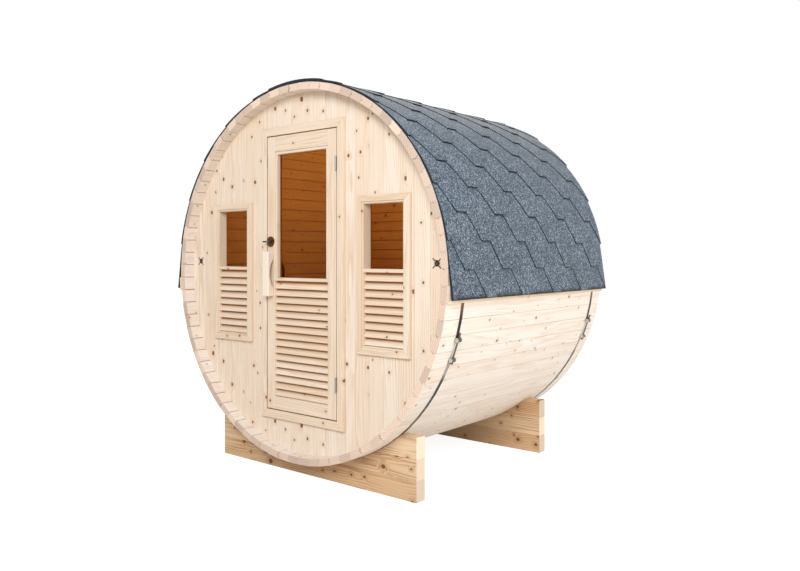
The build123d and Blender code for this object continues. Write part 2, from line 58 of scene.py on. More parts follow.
INNER_RADIUS, OUTER_RADIUS, GROOVE_RADIUS, WALL_RADIUS = 914.0, 950.0, 922.0, 921.7
STAVE_STEP = math.radians(4.5)
FRONT_FACE, FRONT_BACK = -685.0, -645.0
LEAF_FACE, LEAF_BACK = -701.0, -661.0
GAP = 0.3  # clearance between neighbouring pieces
BEVEL_ANGLE = math.radians(35)
BLEND = {"output": 2, "data_type": "RGBA"}  # a Mix node's third output is its colour

Tree = bpy.types.NodeTree
Socket = bpy.types.NodeSocket
Place = tuple[float, float, float]


class Body(Enum):
    """The bodies of the frame that pieces ride on."""

    ROOT = "root"
    DOOR = "door"


class Slot(Enum):
    """The record's material slots, for the pieces that are made here."""

    STAVE = "spruce_stave"
    BOARD = "spruce_board"
    JOINERY = "spruce_joinery"
    TIMBER = "knotty_timber"
    STEEL = "steel"
    SHINGLE = "granule_shingle"


class Fibre(Enum):
    """The way that a board's wood fibres run, with the directions across its face and through it."""

    X = ((1, 0, 0), (0, 0, 1), (0, 1, 0))
    Y = ((0, 1, 0), (1, 0, 0), (0, 0, 1))
    Z = ((0, 0, 1), (1, 0, 0), (0, 1, 0))


# Materials


def linear(colour: str) -> tuple[float, float, float, float]:
    """Turns an sRGB hex colour into linear light.

    Args:
        colour: six hex digits after a hash sign.

    Returns:
        Red, green, blue and an alpha of 1.
    """
    parts = [int(colour[place:place + 2], 16) / 255 for place in (1, 3, 5)]
    return tuple(c / 12.92 if c <= 0.04045 else ((c + 0.055) / 1.055) ** 2.4 for c in parts) + (1.0,)


def add_node(tree: Tree, kind: str, inputs: dict | None = None, output: int | str = 0,
             stops: Sequence[tuple[float, str]] = (), **settings) -> Socket | None:
    """Adds a shader node with its settings, its constant inputs and its links.

    Args:
        tree: the node tree that gets it.
        kind: the node's type name after the word ShaderNode.
        inputs: socket names or places, each with a constant, a hex colour or an output socket to link.
        output: the name or place of the output that is wanted.
        stops: places and hex colours of a colour ramp.
        settings: properties of the node itself.

    Returns:
        The wanted output, or nothing from a node that ends its tree.
    """
    node = tree.nodes.new("ShaderNode" + kind)
    for name, value in settings.items():
        setattr(node, name, value)
    for key, value in (inputs or {}).items():
        if isinstance(value, Socket):
            tree.links.new(value, node.inputs[key])
        else:
            node.inputs[key].default_value = linear(value) if isinstance(value, str) else value
    for number, (position, colour) in enumerate(stops):
        ramp = node.color_ramp.elements
        stop = ramp[number] if number < len(ramp) else ramp.new(position)
        stop.position, stop.color = position, linear(colour)
    return node.outputs[output] if node.outputs else None


def in_sight(tree: Tree) -> Socket:
    """Tells what is in sight: the greatest of the straight, the mirrored and the see-through ray.

    Args:
        tree: the node tree that gets it.

    Returns:
        1 for what the camera sees, and 0 for stray light.
    """
    straight = add_node(tree, "LightPath", output="Is Camera Ray")
    mirrored, through = (straight.node.outputs[name] for name in ("Is Glossy Ray", "Is Transmission Ray"))
    either = add_node(tree, "Math", {0: straight, 1: mirrored}, operation="MAXIMUM")
    return add_node(tree, "Math", {0: either, 1: through}, operation="MAXIMUM")


@dataclass(frozen=True)
class Finish:
    """A material that is built from shader nodes the first time it is asked for."""

    name: str
    slot: Slot | None = None

    def material(self) -> bpy.types.Material:
        """Builds the finish's material, once.

        Returns:
            The material.
        """
        made = bpy.data.materials.get(self.name)
        if made is None:
            made = bpy.data.materials.new(self.name)
            made.use_nodes = True
            made.node_tree.nodes.clear()
            add_node(made.node_tree, "OutputMaterial", {"Surface": self.shade(made.node_tree)})
        return made

    def shade(self, tree: Tree) -> Socket:
        """Builds the nodes.

        Args:
            tree: the material's empty node tree.

        Returns:
            The shader socket that goes to the output.
        """
        raise NotImplementedError


@dataclass(frozen=True)
class Spruce(Finish):
    """Planed spruce: pale early wood with tan late-wood lines, small brown knots and pinker end grain.

    The wood is solid: growth rings are distances from a pith line that each board carries in its grain
    attribute, so a face shows streaks and flames, and an end shows arcs. Joints, gaps, hollows and edges beside
    other parts get painted shade: a brown that a value at each point sets.
    """

    early: str = "#F0E5D8"
    late: str = "#D9BD9F"
    tint: str = "#E9D3BB"
    knot: str = "#8A5636"
    rim: str = "#52301A"
    end: str = "#E0CAB9"
    # the brown of the painted shade in joints, gaps and hollows
    stain: str = "#8A5A34"
    ring_mm: float = 9.0  # real rings are 2 to 4 mm apart, too fine for the picture
    ring_strength: float = 0.75
    tint_strength: float = 0.6
    knot_cell_mm: float = 88.0
    knot_share: float = 0.5
    knot_mm: float = 10.0
    roughness: float = 0.62

    def shade(self, tree: Tree) -> Socket:
        """Builds rings, flames, streaks, knots and end grain from the board's own grain coordinates.

        Args:
            tree: the material's empty node tree.

        Returns:
            The shader socket.
        """
        add = partial(add_node, tree)
        soft = partial(add, "MapRange", interpolation_type="SMOOTHSTEP")
        grain, fibre = (add("Attribute", output="Vector", attribute_name=name) for name in ("grain", "fibre"))
        tone, stained = (add("Attribute", output="Fac", attribute_name=name) for name in ("tone", "stain"))

        # Knots: round spots in some cells of a flat cell pattern on the board's face
        cell = self.knot_cell_mm * MM
        size = self.knot_mm * MM / cell
        wander = add("TexNoise", {"Vector": grain, "Scale": 90.0, "Detail": 1.0}, "Color")
        wandered = add("VectorMath", {0: wander, 1: (0.004, 0.004, 0.0), 2: grain}, operation="MULTIPLY_ADD")
        spread = add("VectorMath", {0: wandered, 1: (0.8 / cell, 1 / cell, 0.0)}, operation="MULTIPLY")
        cells = add("TexVoronoi", {"Vector": spread, "Scale": 1.0}, "Color", voronoi_dimensions="2D")
        chance = add("SeparateColor", {0: cells}, "Red")
        there = add("Math", {0: chance, 1: self.knot_share}, operation="LESS_THAN")
        rare = add("Math", {0: chance.node.outputs["Green"], 1: 2.0}, operation="POWER")
        reach = add("MapRange", {0: rare, 3: 0.36 * size, 4: size})
        ratio = add("Math", {0: cells.node.outputs["Distance"], 1: reach}, operation="DIVIDE")
        disc, core, halo = (soft({0: ratio, 1: far, 2: near})
                            for far, near in ((1.15, 0.85), (0.95, 0.45), (4.5, 0.8)))
        disc, halo = (add("Math", {0: mark, 1: there}, operation="MULTIPLY") for mark in (disc, halo))

        # Growth rings: the distance from the pith, bent by slow noise and pushed aside by knots
        slow = add("VectorMath", {0: grain, 1: (1.3, 11.0, 11.0)}, operation="MULTIPLY")
        bend = add("TexNoise", {"Vector": slow, "Scale": 1.0, "Detail": 2.0})
        across = add("VectorMath", {0: grain, 1: (0.0, 1.0, 1.0)}, operation="MULTIPLY")
        radius = add("VectorMath", {0: across}, "Value", operation="LENGTH")
        bent = add("Math", {0: bend, 1: 0.05, 2: radius}, operation="MULTIPLY_ADD")
        pushed = add("Math", {0: halo, 1: 0.012, 2: bent}, operation="MULTIPLY_ADD")
        turns = add("Math", {0: pushed, 1: 1 / (self.ring_mm * MM)}, operation="MULTIPLY")
        part = add("Math", {0: turns}, operation="FRACT")
        rise, fall = (soft({0: part, 1: low, 2: high}) for low, high in ((0.2, 0.85), (1.0, 0.88)))
        ring = add("Math", {0: rise, 1: fall}, operation="MULTIPLY")
        patch = add("TexNoise", {"Vector": slow, "Scale": 2.6, "Detail": 1.0})
        share = add("MapRange", {0: patch, 1: 0.35, 2: 0.7, 3: 0.15, 4: self.ring_strength})
        late = add("Math", {0: ring, 1: share}, operation="MULTIPLY")

        # Fine streaks along the fibres, coarser than real ones so that they show
        fine = add("VectorMath", {0: grain, 1: (5.0, 260.0, 260.0)}, operation="MULTIPLY")
        streak = add("TexNoise", {"Vector": fine, "Scale": 1.0, "Detail": 2.0})
        light = add("MapRange", {0: streak, 1: 0.25, 2: 0.75, 3: 0.93, 4: 1.05})
        tinted = add("Math", {0: tone, 1: self.tint_strength}, operation="MULTIPLY")
        weak = add("Math", {0: halo, 1: 0.45}, operation="MULTIPLY")
        board = add("Mix", {"Factor": tinted, 6: self.early, 7: self.tint}, **BLEND)
        ringed = add("Mix", {"Factor": late, 6: board, 7: self.late}, **BLEND)
        streaked = add("VectorMath", {0: ringed, 3: light}, operation="SCALE")
        shaded = add("Mix", {"Factor": weak, 6: streaked, 7: self.late}, **BLEND)
        spot = add("Mix", {"Factor": core, 6: self.rim, 7: self.knot}, **BLEND)
        knotted = add("Mix", {"Factor": disc, 6: shaded, 7: spot}, **BLEND)

        # End grain, where the face looks along the fibres
        normal = add("TexCoord", output="Normal")
        facing = add("VectorMath", {0: normal, 1: fibre}, "Value", operation="DOT_PRODUCT")
        turned = add("Math", {0: facing}, operation="ABSOLUTE")
        cross = add("MapRange", {0: turned, 1: 0.55, 2: 0.85})
        dark = add("MapRange", {0: ring, 3: 1.04, 4: 0.84})
        toned = add("MapRange", {0: tone, 3: 1.2, 4: 0.78})
        both = add("Math", {0: dark, 1: toned}, operation="MULTIPLY")
        end = add("VectorMath", {0: linear(self.end)[:3], 3: both}, operation="SCALE")
        sawn = add("Mix", {"Factor": cross, 6: knotted, 7: end}, **BLEND)
        # Painted shade: a brown, set by a value at each point, in joints, gaps, hollows and beside other parts
        colour = add("Mix", {"Factor": stained, 6: sawn, 7: self.stain}, **BLEND)
        lift = add("Math", {0: late, 1: 0.6, 2: streak}, operation="MULTIPLY_ADD")
        bump = add("Bump", {"Strength": 0.25, "Distance": 0.0006, "Height": lift})
        return add("BsdfPrincipled", {"Base Color": colour, "Roughness": self.roughness, "Normal": bump,
                                      "Specular IOR Level": 0.35})


@dataclass(frozen=True)
class Granules(Finish):
    """Mineral granules on a bitumen shingle: blue-grey grit of many greys, dull and rough to the eye."""

    dark: str = "#19222D"
    middle: str = "#556371"
    pale: str = "#A4AFBA"
    # near black painted shadow along the cut edges
    painted_edge_shadow: str = "#10151C"
    grain_mm: float = 5.0  # real granules are 1 to 2 mm, too fine for the picture

    def shade(self, tree: Tree) -> Socket:
        """Builds a grey for each granule, cloudy patches, a grit bump and a painted shadow along cut edges.

        Args:
            tree: the material's empty node tree.

        Returns:
            The shader socket.
        """
        add = partial(add_node, tree)
        place = add("TexCoord", output="Object")
        grit = add("TexVoronoi", {"Vector": place, "Scale": 1 / (self.grain_mm * MM)}, "Color")
        grey = add("SeparateColor", {0: grit}, "Red")
        cloud = add("TexNoise", {"Vector": place, "Scale": 9.0, "Detail": 3.0})
        mixed = add("Math", {0: cloud, 1: 0.3, 2: grey}, operation="MULTIPLY_ADD")
        level = add("MapRange", {0: mixed, 1: 0.05, 2: 1.25})
        colour = add("ValToRGB", {0: level}, stops=(
            (0.0, self.dark), (0.45, self.middle), (0.62, self.middle), (1.0, self.pale)))
        # Painted shadow along each course's cut edge, near black
        cut = add("Attribute", output="Fac", attribute_name="stain")
        edged = add("Mix", {"Factor": cut, 6: colour, 7: self.painted_edge_shadow}, **BLEND)
        bump = add("Bump", {"Strength": 0.6, "Distance": 0.001, "Height": grit.node.outputs["Distance"]})
        return add("BsdfPrincipled", {"Base Color": edged, "Roughness": 0.9, "Normal": bump,
                                      "Specular IOR Level": 0.2, "Sheen Weight": 0.5, "Sheen Roughness": 0.3})


@dataclass(frozen=True)
class Bitumen(Finish):
    """Cut bitumen felt: a near-black navy edge with a faint fibrous roughness."""

    colour: str = "#1E242D"

    def shade(self, tree: Tree) -> Socket:
        """Builds a dark base with fine mottling.

        Args:
            tree: the material's empty node tree.

        Returns:
            The shader socket.
        """
        add = partial(add_node, tree)
        place = add("TexCoord", output="Object")
        fleck = add("TexNoise", {"Vector": place, "Scale": 260.0, "Detail": 2.0})
        light = add("MapRange", {0: fleck, 3: 0.6, 4: 1.5})
        colour = add("VectorMath", {0: linear(self.colour)[:3], 3: light}, operation="SCALE")
        bump = add("Bump", {"Strength": 0.3, "Distance": 0.0005, "Height": fleck})
        return add("BsdfPrincipled", {"Base Color": colour, "Roughness": 0.75, "Normal": bump,
                                      "Specular IOR Level": 0.3})


@dataclass(frozen=True)
class Metal(Finish):
    """Brushed or cast metal, with a soft grain that blurs what it mirrors."""

    colour: str = "#A9A9A6"
    shadow: str = "#7E7F80"
    roughness: float = 0.38
    grain: Place = (300.0, 300.0, 30.0)

    def shade(self, tree: Tree) -> Socket:
        """Builds streaks in colour, roughness and height.

        Args:
            tree: the material's empty node tree.

        Returns:
            The shader socket.
        """
        add = partial(add_node, tree)
        place = add("TexCoord", output="Object")
        drawn = add("VectorMath", {0: place, 1: self.grain}, operation="MULTIPLY")
        scratch = add("TexNoise", {"Vector": drawn, "Scale": 1.0, "Detail": 3.0})
        colour = add("Mix", {"Factor": scratch, 6: self.colour, 7: self.shadow}, **BLEND)
        rough = add("MapRange", {0: scratch, 3: self.roughness - 0.1, 4: self.roughness + 0.14})
        bump = add("Bump", {"Strength": 0.15, "Distance": 0.0003, "Height": scratch})
        return add("BsdfPrincipled", {"Base Color": colour, "Metallic": 1.0, "Roughness": rough, "Normal": bump})

    def radius(self, tree: Tree, x: float, z: float) -> Socket:
        """Measures the distance from a line along Y: the length of what is left without Y.

        Args:
            tree: the node tree that gets it.
            x: X of the line in millimetres.
            z: its height in millimetres.

        Returns:
            The distance in metres.
        """
        place = add_node(tree, "TexCoord", output="Object")
        flat = add_node(tree, "VectorMath", {0: place, 1: (1.0, 0.0, 1.0), 2: (-x * MM, 0.0, -z * MM)},
                        operation="MULTIPLY_ADD")
        return add_node(tree, "VectorMath", {0: flat}, "Value", operation="LENGTH")


@dataclass(frozen=True)
class HoopSteel(Metal):
    """A steel band and zinc lugs with painted light and shade: by height on the band, by facing on the lugs."""

    # Painted light and shade by height in metres: blue-black shade low down, pale grey light round the lugs, then
    # dark and brown higher up
    painted_light_by_height: tuple[tuple[float, str], ...] = (
        (0.0, "#151A25"), (0.56, "#151A25"), (0.6, "#A39B92"), (0.7, "#8F877E"), (0.77, "#26262C"),
        (0.86, "#3A322E"), (0.92, "#80603F"))
    # Lit and shaded copies of the lugs' zinc: a painted highlight on their ends, painted shade on their sides
    bright: str = "#CFCCC6"
    side: str = "#6A655F"
    roughness: float = 0.3
    band_radius: float = 952.9

    def shade(self, tree: Tree) -> Socket:
        """Builds the band's painted light and shade, and zinc further out, by the distance from the axis.

        Args:
            tree: the material's empty node tree.

        Returns:
            The shader socket.
        """
        add = partial(add_node, tree)
        place = add("TexCoord", output="Object")
        outside = add("Math", {0: self.radius(tree, 0.0, AXIS), 1: self.band_radius * MM}, operation="GREATER_THAN")
        # Painted light and shade on the band by height, wavered by slow noise
        cloud = add("TexNoise", {"Vector": place, "Scale": 14.0, "Detail": 3.0})
        height = add("SeparateXYZ", {0: place}, "Z")
        level = add("Math", {0: cloud, 1: 0.06, 2: height}, operation="MULTIPLY_ADD")
        lowered = add("Math", {0: level, 1: 0.03}, operation="SUBTRACT")
        band = add("ValToRGB", {0: lowered}, stops=self.painted_light_by_height)
        # Painted highlight on lug faces that look along the axis, painted shade on the rest
        facing = add("SeparateXYZ", {0: add("TexCoord", output="Normal")}, "Y")
        turned = add("Math", {0: facing}, operation="ABSOLUTE")
        end_on = add("MapRange", {0: turned, 1: 0.97, 2: 0.99})
        zinc = add("Mix", {"Factor": end_on, 6: self.side, 7: self.bright}, **BLEND)
        colour = add("Mix", {"Factor": outside, 6: band, 7: zinc}, **BLEND)
        return add("BsdfPrincipled", {"Base Color": colour, "Metallic": 1.0, "Roughness": self.roughness})


@dataclass(frozen=True)
class LockBronze(Metal):
    """Antique bronze with a pale middle, steel grey with a painted highlight, and a dark ring round it."""

    colour: str = "#80542F"
    shadow: str = "#3E2615"
    # a dark ring round the pale middle, drawn by the distance from the lock's axis
    groove: str = "#2E1C10"
    # the pale middle: the knob's own steel grey, with a painted highlight
    bright: str = "#8C8782"
    roughness: float = 0.45
    x: float = -222.0
    z: float = 1197.0

    def shade(self, tree: Tree) -> Socket:
        """Builds rings of three tones by the distance from the lock's axis, over a mottled cast metal.

        Args:
            tree: the material's empty node tree.

        Returns:
            The shader socket.
        """
        add = partial(add_node, tree)
        radius = self.radius(tree, self.x, self.z)
        cast = add("TexNoise", {"Vector": add("TexCoord", output="Object"), "Scale": 90.0, "Detail": 3.0})
        # Rings by radius: a dark ring, and a pale middle that is partly painted highlight
        ringed, pale_middle = (add("MapRange", {0: radius, 1: far, 2: near}) for far, near in ((0.0125, 0.0105),
                                                                                       (0.0085, 0.0065)))
        bronze = add("Mix", {"Factor": cast, 6: self.colour, 7: self.shadow}, **BLEND)
        grooved = add("Mix", {"Factor": ringed, 6: bronze, 7: self.groove}, **BLEND)
        colour = add("Mix", {"Factor": pale_middle, 6: grooved, 7: self.bright}, **BLEND)
        return add("BsdfPrincipled", {"Base Color": colour, "Metallic": 1.0, "Roughness": self.roughness})


@dataclass(frozen=True)
class BronzeGlass(Finish):
    """Bronze-tinted toughened glass: an orange-brown pane that shows the room dimly behind it."""

    colour: str = "#B8752E"

    def shade(self, tree: Tree) -> Socket:
        """Builds a clear body that colours what shows through it, a little uneven as float glass is.

        Args:
            tree: the material's empty node tree.

        Returns:
            The shader socket.
        """
        add = partial(add_node, tree)
        place = add("TexCoord", output="Object")
        wave = add("TexNoise", {"Vector": place, "Scale": 3.0, "Detail": 1.0})
        light = add("MapRange", {0: wave, 3: 0.9, 4: 1.1})
        colour = add("VectorMath", {0: linear(self.colour)[:3], 3: light}, operation="SCALE")
        return add("BsdfPrincipled", {"Base Color": colour, "Roughness": 0.03, "Transmission Weight": 1.0,
                                      "IOR": 1.1, "Specular IOR Level": 0.1})


@dataclass(frozen=True)
class StudioPaper(Finish):
    """Matt studio paper, lit to white for the eye and plain beige for the light that it throws back."""

    def shade(self, tree: Tree) -> Socket:
        """Builds a grey that glows to white where it is in sight, so that soft shadows stay.

        Args:
            tree: the material's empty node tree.

        Returns:
            The shader socket.
        """
        add = partial(add_node, tree)
        paper = add("BsdfDiffuse", {"Color": "#D8CCBE"})
        shaded = add("BsdfDiffuse", {"Color": "#9C9C9C"})
        glow = add("Emission", {"Color": "#FFFFFF", "Strength": 0.88})
        white = add("AddShader", {0: shaded, 1: glow})
        return add("MixShader", {0: in_sight(tree), 1: paper, 2: white})


# Paler and less yellow than the wall boards: painted light for the strong light on the barrel's outside
STAVE_SPRUCE = Spruce("planed_spruce_staves", Slot.STAVE, early="#F8F3ED", late="#E6D3BF", tint="#F3E6D8",
                      knot="#A87A58", rim="#7E5336", knot_share=0.6, knot_mm=7.0)
BOARD_SPRUCE = Spruce("planed_spruce_boards", Slot.BOARD, early="#EFE4D7", late="#D8BC9E")
# Joinery, whose painted shade is a lighter brown
JOINERY_SPRUCE = Spruce("sanded_spruce_joinery", Slot.JOINERY, early="#EBDCCA", late="#D3B491", tint="#DFC6A9",
                        stain="#A87448", knot_share=0.3, knot_mm=8.0, ring_strength=0.6, roughness=0.55)
CRADLE_PINE = Spruce("sawn_knotty_pine", Slot.TIMBER, early="#E6CFAF", late="#A97F54", tint="#D4B089",
                     knot="#7E4B28", rim="#472A16", end="#EBD8C2", ring_strength=1.0, tint_strength=0.9,
                     knot_cell_mm=80.0, knot_share=0.7, knot_mm=12.0, roughness=0.7)
# Yellower than the staves, and made pale as painted light for a batten in the shingles' shade
BATTEN_SPRUCE = Spruce("yellow_spruce_batten_painted_light", Slot.JOINERY, early="#FBEBD2", late="#E9C597", tint="#F5DCB8")
PULL_ASPEN = Spruce("sanded_aspen_pull", Slot.JOINERY, early="#F6ECDF", late="#E8D3BA", tint="#F2E2CF",
                    knot_share=0.0, ring_strength=0.4, roughness=0.5)
GRANULES = Granules("mineral_granules", Slot.SHINGLE)
BITUMEN = Bitumen("bitumen_felt")
STRAP_STEEL = Metal("dull_steel_strap", Slot.STEEL, colour="#77726C", shadow="#3F3B37", roughness=0.45)


# Meshes


@dataclass
class Shell:
    """One closed surface, in millimetres, with what its wood has to know.

    Attributes:
        points: places of the vertices, one row each.
        quads: vertex numbers of the four-sided faces.
        caps: vertex numbers of each many-sided face.
        fibre: the way of its fibres, or the three directions themselves as rows.
        seed: a number from 0 to 1 that sets the board's tone and its place in the log.
        finish: which of the piece's materials each quad takes.
        stain: how much painted shade each point gets, a brown from 0 to 1.
    """

    points: np.ndarray
    quads: np.ndarray
    caps: list[np.ndarray] = field(default_factory=list)
    fibre: Fibre | np.ndarray = Fibre.Y
    seed: float = field(default_factory=DRAWS.random)
    finish: np.ndarray | int = 0
    stain: np.ndarray | float = 0.0

    def outward(self) -> "Shell":
        """Turns the faces outwards, by the sign of the volume that the quads and caps enclose.

        Returns:
            The shell itself.
        """
        fans = [np.column_stack([np.full(len(cap) - 2, cap[0]), cap[1:-1], cap[2:]]) for cap in self.caps]
        parts = [self.quads[:, [0, 1, 2]], self.quads[:, [0, 2, 3]]] + fans
        a, b, c = (self.points[np.concatenate(parts)][:, corner] for corner in range(3))
        if np.einsum("ij,ij->i", a, np.cross(b, c)).sum() < 0:
            self.quads = self.quads[:, ::-1]
            self.caps = [cap[::-1] for cap in self.caps]
        return self

    def directions(self) -> np.ndarray:
        """Returns the directions along the fibres, across the board's face and through it, as rows."""
        return np.array(self.fibre.value if isinstance(self.fibre, Fibre) else self.fibre, float)

    def grain(self) -> np.ndarray:
        """Works out wood coordinates: a point's offset along the board's directions, from its own pith.

        Returns:
            Metres along, across and through, one row for each point.
        """
        middle = (self.points.min(0) + self.points.max(0)) / 2
        local = (self.points - middle) @ self.directions().T * MM
        turn = self.seed * 997.0
        return local + (turn % 7.0, 0.055 * math.sin(turn * 1.7), 0.03 + 0.07 * abs(math.sin(turn * 3.1)))


def loft(rings: Sequence[np.ndarray], strip_caps: bool = False, **facts) -> Shell:
    """Carries a closed profile through a row of rings: a point is ring(path place, profile place).

    Args:
        rings: rings of equally many points.
        strip_caps: closes the ends with quads between opposite profile points, for ends that curve.
        facts: the shell's fibre, seed, finish and painted shade.

    Returns:
        The closed shell.
    """
    rings = np.asarray(rings, float)
    count, size, _ = rings.shape
    here, there = np.arange(size), np.roll(np.arange(size), -1)
    rows = np.arange(count - 1)[:, None] * size
    quads = np.stack([rows + here, rows + there, rows + size + there, rows + size + here], -1).reshape(-1, 4)
    caps = []
    if strip_caps:
        left = np.arange(size // 2 - 1)
        flat = np.stack([left, size - 1 - left, size - 2 - left, left + 1], -1)
        quads = np.concatenate([quads, flat, flat[:, ::-1] + (count - 1) * size])
    else:
        caps = [here[::-1].copy(), here + (count - 1) * size]
    return Shell(rings.reshape(-1, 3), quads, caps, **facts).outward()


def carried(outline: np.ndarray, places: Sequence[float], axis: int, **facts) -> Shell:
    """Carries a flat outline straight along one axis: only the coordinate on that axis changes.

    Args:
        outline: points, each with its coordinates on the two other axes.
        places: where on the axis a ring stands.
        axis: 0 for X, 1 for Y and 2 for Z.
        facts: the shell's fibre, seed and painted shade.

    Returns:
        The closed shell.
    """
    return loft([np.insert(outline, axis, place, axis=1) for place in places], **facts)


def board(corner: Place, opposite: Place, fibre: Fibre) -> Shell:
    """A squared board between two corners: a rectangle carried upwards.

    Args:
        corner: X, Y and the level from the barrel's axis.
        opposite: the opposite corner.
        fibre: the way of its fibres.

    Returns:
        The closed shell.
    """
    (x0, y0, z0), (x1, y1, z1) = np.sort([corner, opposite], axis=0)
    square = np.array([(x0, y0), (x1, y0), (x1, y1), (x0, y1)])
    return carried(square, (AXIS + z0, AXIS + z1), 2, fibre=fibre)


def slab(x: np.ndarray, front: np.ndarray | float, back: np.ndarray | float, low: np.ndarray | float,
         high: np.ndarray | float, stain: np.ndarray | float = 0.0, **facts) -> Shell:
    """An upright board whose faces and ends may curve: each is a function of the place across it.

    Args:
        x: places across the board, from left to right.
        front: Y of the front face at each of them.
        back: Y of the back face.
        low: lower end, from the barrel's axis.
        high: upper end, from the barrel's axis.
        stain: painted shade, how brown the wood is.
        facts: the shell's fibre and seed.

    Returns:
        The closed shell.
    """
    front, back, low, high, brown = (np.broadcast_to(part, len(x)) for part in (front, back, low, high, stain))
    outline = np.column_stack([np.concatenate([x, x[::-1]]), np.concatenate([front, back[::-1]])])
    rings = [np.column_stack([outline, AXIS + np.concatenate([z, z[::-1]])]) for z in (low, high)]
    return loft(rings, strip_caps=True, stain=np.tile(np.concatenate([brown, brown[::-1]]), 2), **facts)


def rounded(width: float, height: float, radius: float, steps: int) -> np.ndarray:
    """Outline of a rectangle with round corners: each corner is a quarter circle of equal steps.

    Args:
        width: full width.
        height: full height.
        radius: corner radius.
        steps: arcs per corner.

    Returns:
        The outline's points, counter-clockwise.
    """
    signs = np.array([(1, 1), (-1, 1), (-1, -1), (1, -1)])
    angles = np.linspace(0, math.pi / 2, steps + 1)[None, :] + np.arange(4)[:, None] * math.pi / 2
    centres = signs * (width / 2 - radius, height / 2 - radius)
    return (centres[:, None, :] + radius * np.stack([np.cos(angles), np.sin(angles)], -1)).reshape(-1, 2)


def mitred_frame(centre: float, half_width: float, half_height: float, profile: Sequence[Place],
                 mitre: float = 0.15) -> list[Shell]:
    """Four boards that meet at mitres: each carries the profile along one side of the opening.

    Args:
        centre: X of the opening's middle.
        half_width: half of the opening's width.
        half_height: half of its height.
        profile: outline points as distance out from the opening, Y and painted shade.
        mitre: how far each board ends short of the mitre line.

    Returns:
        The two upright boards, then the lower and the upper one.
    """
    out, y, stain = np.array(profile).T
    boards = []
    for fibre, trim_x, trim_z in ((Fibre.Z, 0.0, mitre), (Fibre.X, mitre, 0.0)):
        for side in (-1, 1):
            rings = []
            for end in (-1, 1):
                right, up = (side, end) if fibre is Fibre.Z else (end, side)
                rings.append(np.column_stack([centre + right * (half_width + out - trim_x), y,
                                              AXIS + up * (half_height + out - trim_z)]))
            boards.append(loft(rings, fibre=fibre, stain=np.tile(stain, 2)))
    return boards


def butted_frame(centre: float, half_width: float, half_height: float, thickness: float, front: float,
                 back: float) -> list[Shell]:
    """Four squared boards round an opening, the head and the sill between the sides.

    Args:
        centre: X of the opening's middle.
        half_width: half of the opening's width.
        half_height: half of its height.
        thickness: thickness of the boards.
        front: Y of their front edges.
        back: Y of their back edges.

    Returns:
        The four boards.
    """
    outer, tall, short = half_width + thickness, half_height + thickness, half_width - GAP
    return [board((centre + s * half_width, front, -tall), (centre + s * outer, back, tall), Fibre.Z)
            for s in (-1, 1)] + [
        board((centre - short, front, s * half_height), (centre + short, back, s * tall), Fibre.X)
        for s in (-1, 1)]


@dataclass
class Louvre:
    """Level slats that lean back at their tops: a rounded profile carried along X."""

    width: float = 44.0
    thickness: float = 8.0
    tilt: float = math.radians(26.0)
    setback: float = 4.0
    rounding: float = 2.6
    # Painted shade down the top of each slat's face, under the slat above: depths in mm and amounts
    hidden: tuple[float, ...] = (10.0, 14.0, 20.0, 28.0)
    hidden_stain: tuple[float, ...] = (1.0, 0.7, 0.25, 0.0)

    def build(self, centre: float, half_length: float, face: float, top: float, bottom: float,
              count: int) -> list[Shell]:
        """Builds the slats, browner where the slat above them keeps the light off.

        Args:
            centre: X of the louvre's middle.
            half_length: half of a slat's length.
            face: Y of the face that the slats are set back from.
            top: upper end of the louvre above the axis.
            bottom: its lower end.
            count: how many slats.

        Returns:
            One shell for each slat.
        """
        cosine, sine = math.cos(self.tilt), math.sin(self.tilt)
        reach = self.width * sine + self.thickness * cosine
        rise = self.width * cosine + self.thickness * sine
        pitch = (top - bottom - 2 * GAP - rise) / (count - 1)
        corners = rounded(self.thickness, self.width, self.rounding, 3)
        face_side = [(-self.thickness / 2, self.width / 2 - depth) for depth in self.hidden]
        through, along = np.concatenate([corners[:8], face_side, corners[8:]]).T
        # Painted shade: full on the back and top, fading down the face, part along the lower front edge
        stain = np.concatenate([np.ones(8), self.hidden_stain, (0.0, 0.0, 0.35, 0.35), np.ones(4)])
        y = through * cosine + along * sine + face + self.setback + reach / 2
        z = along * cosine - through * sine + AXIS + top - GAP - rise / 2
        ends = (centre - half_length + GAP, centre + half_length - GAP)
        return [carried(np.column_stack([y, z - place * pitch]), ends, 0, fibre=Fibre.X, stain=np.tile(stain, 2))
                for place in range(count)]


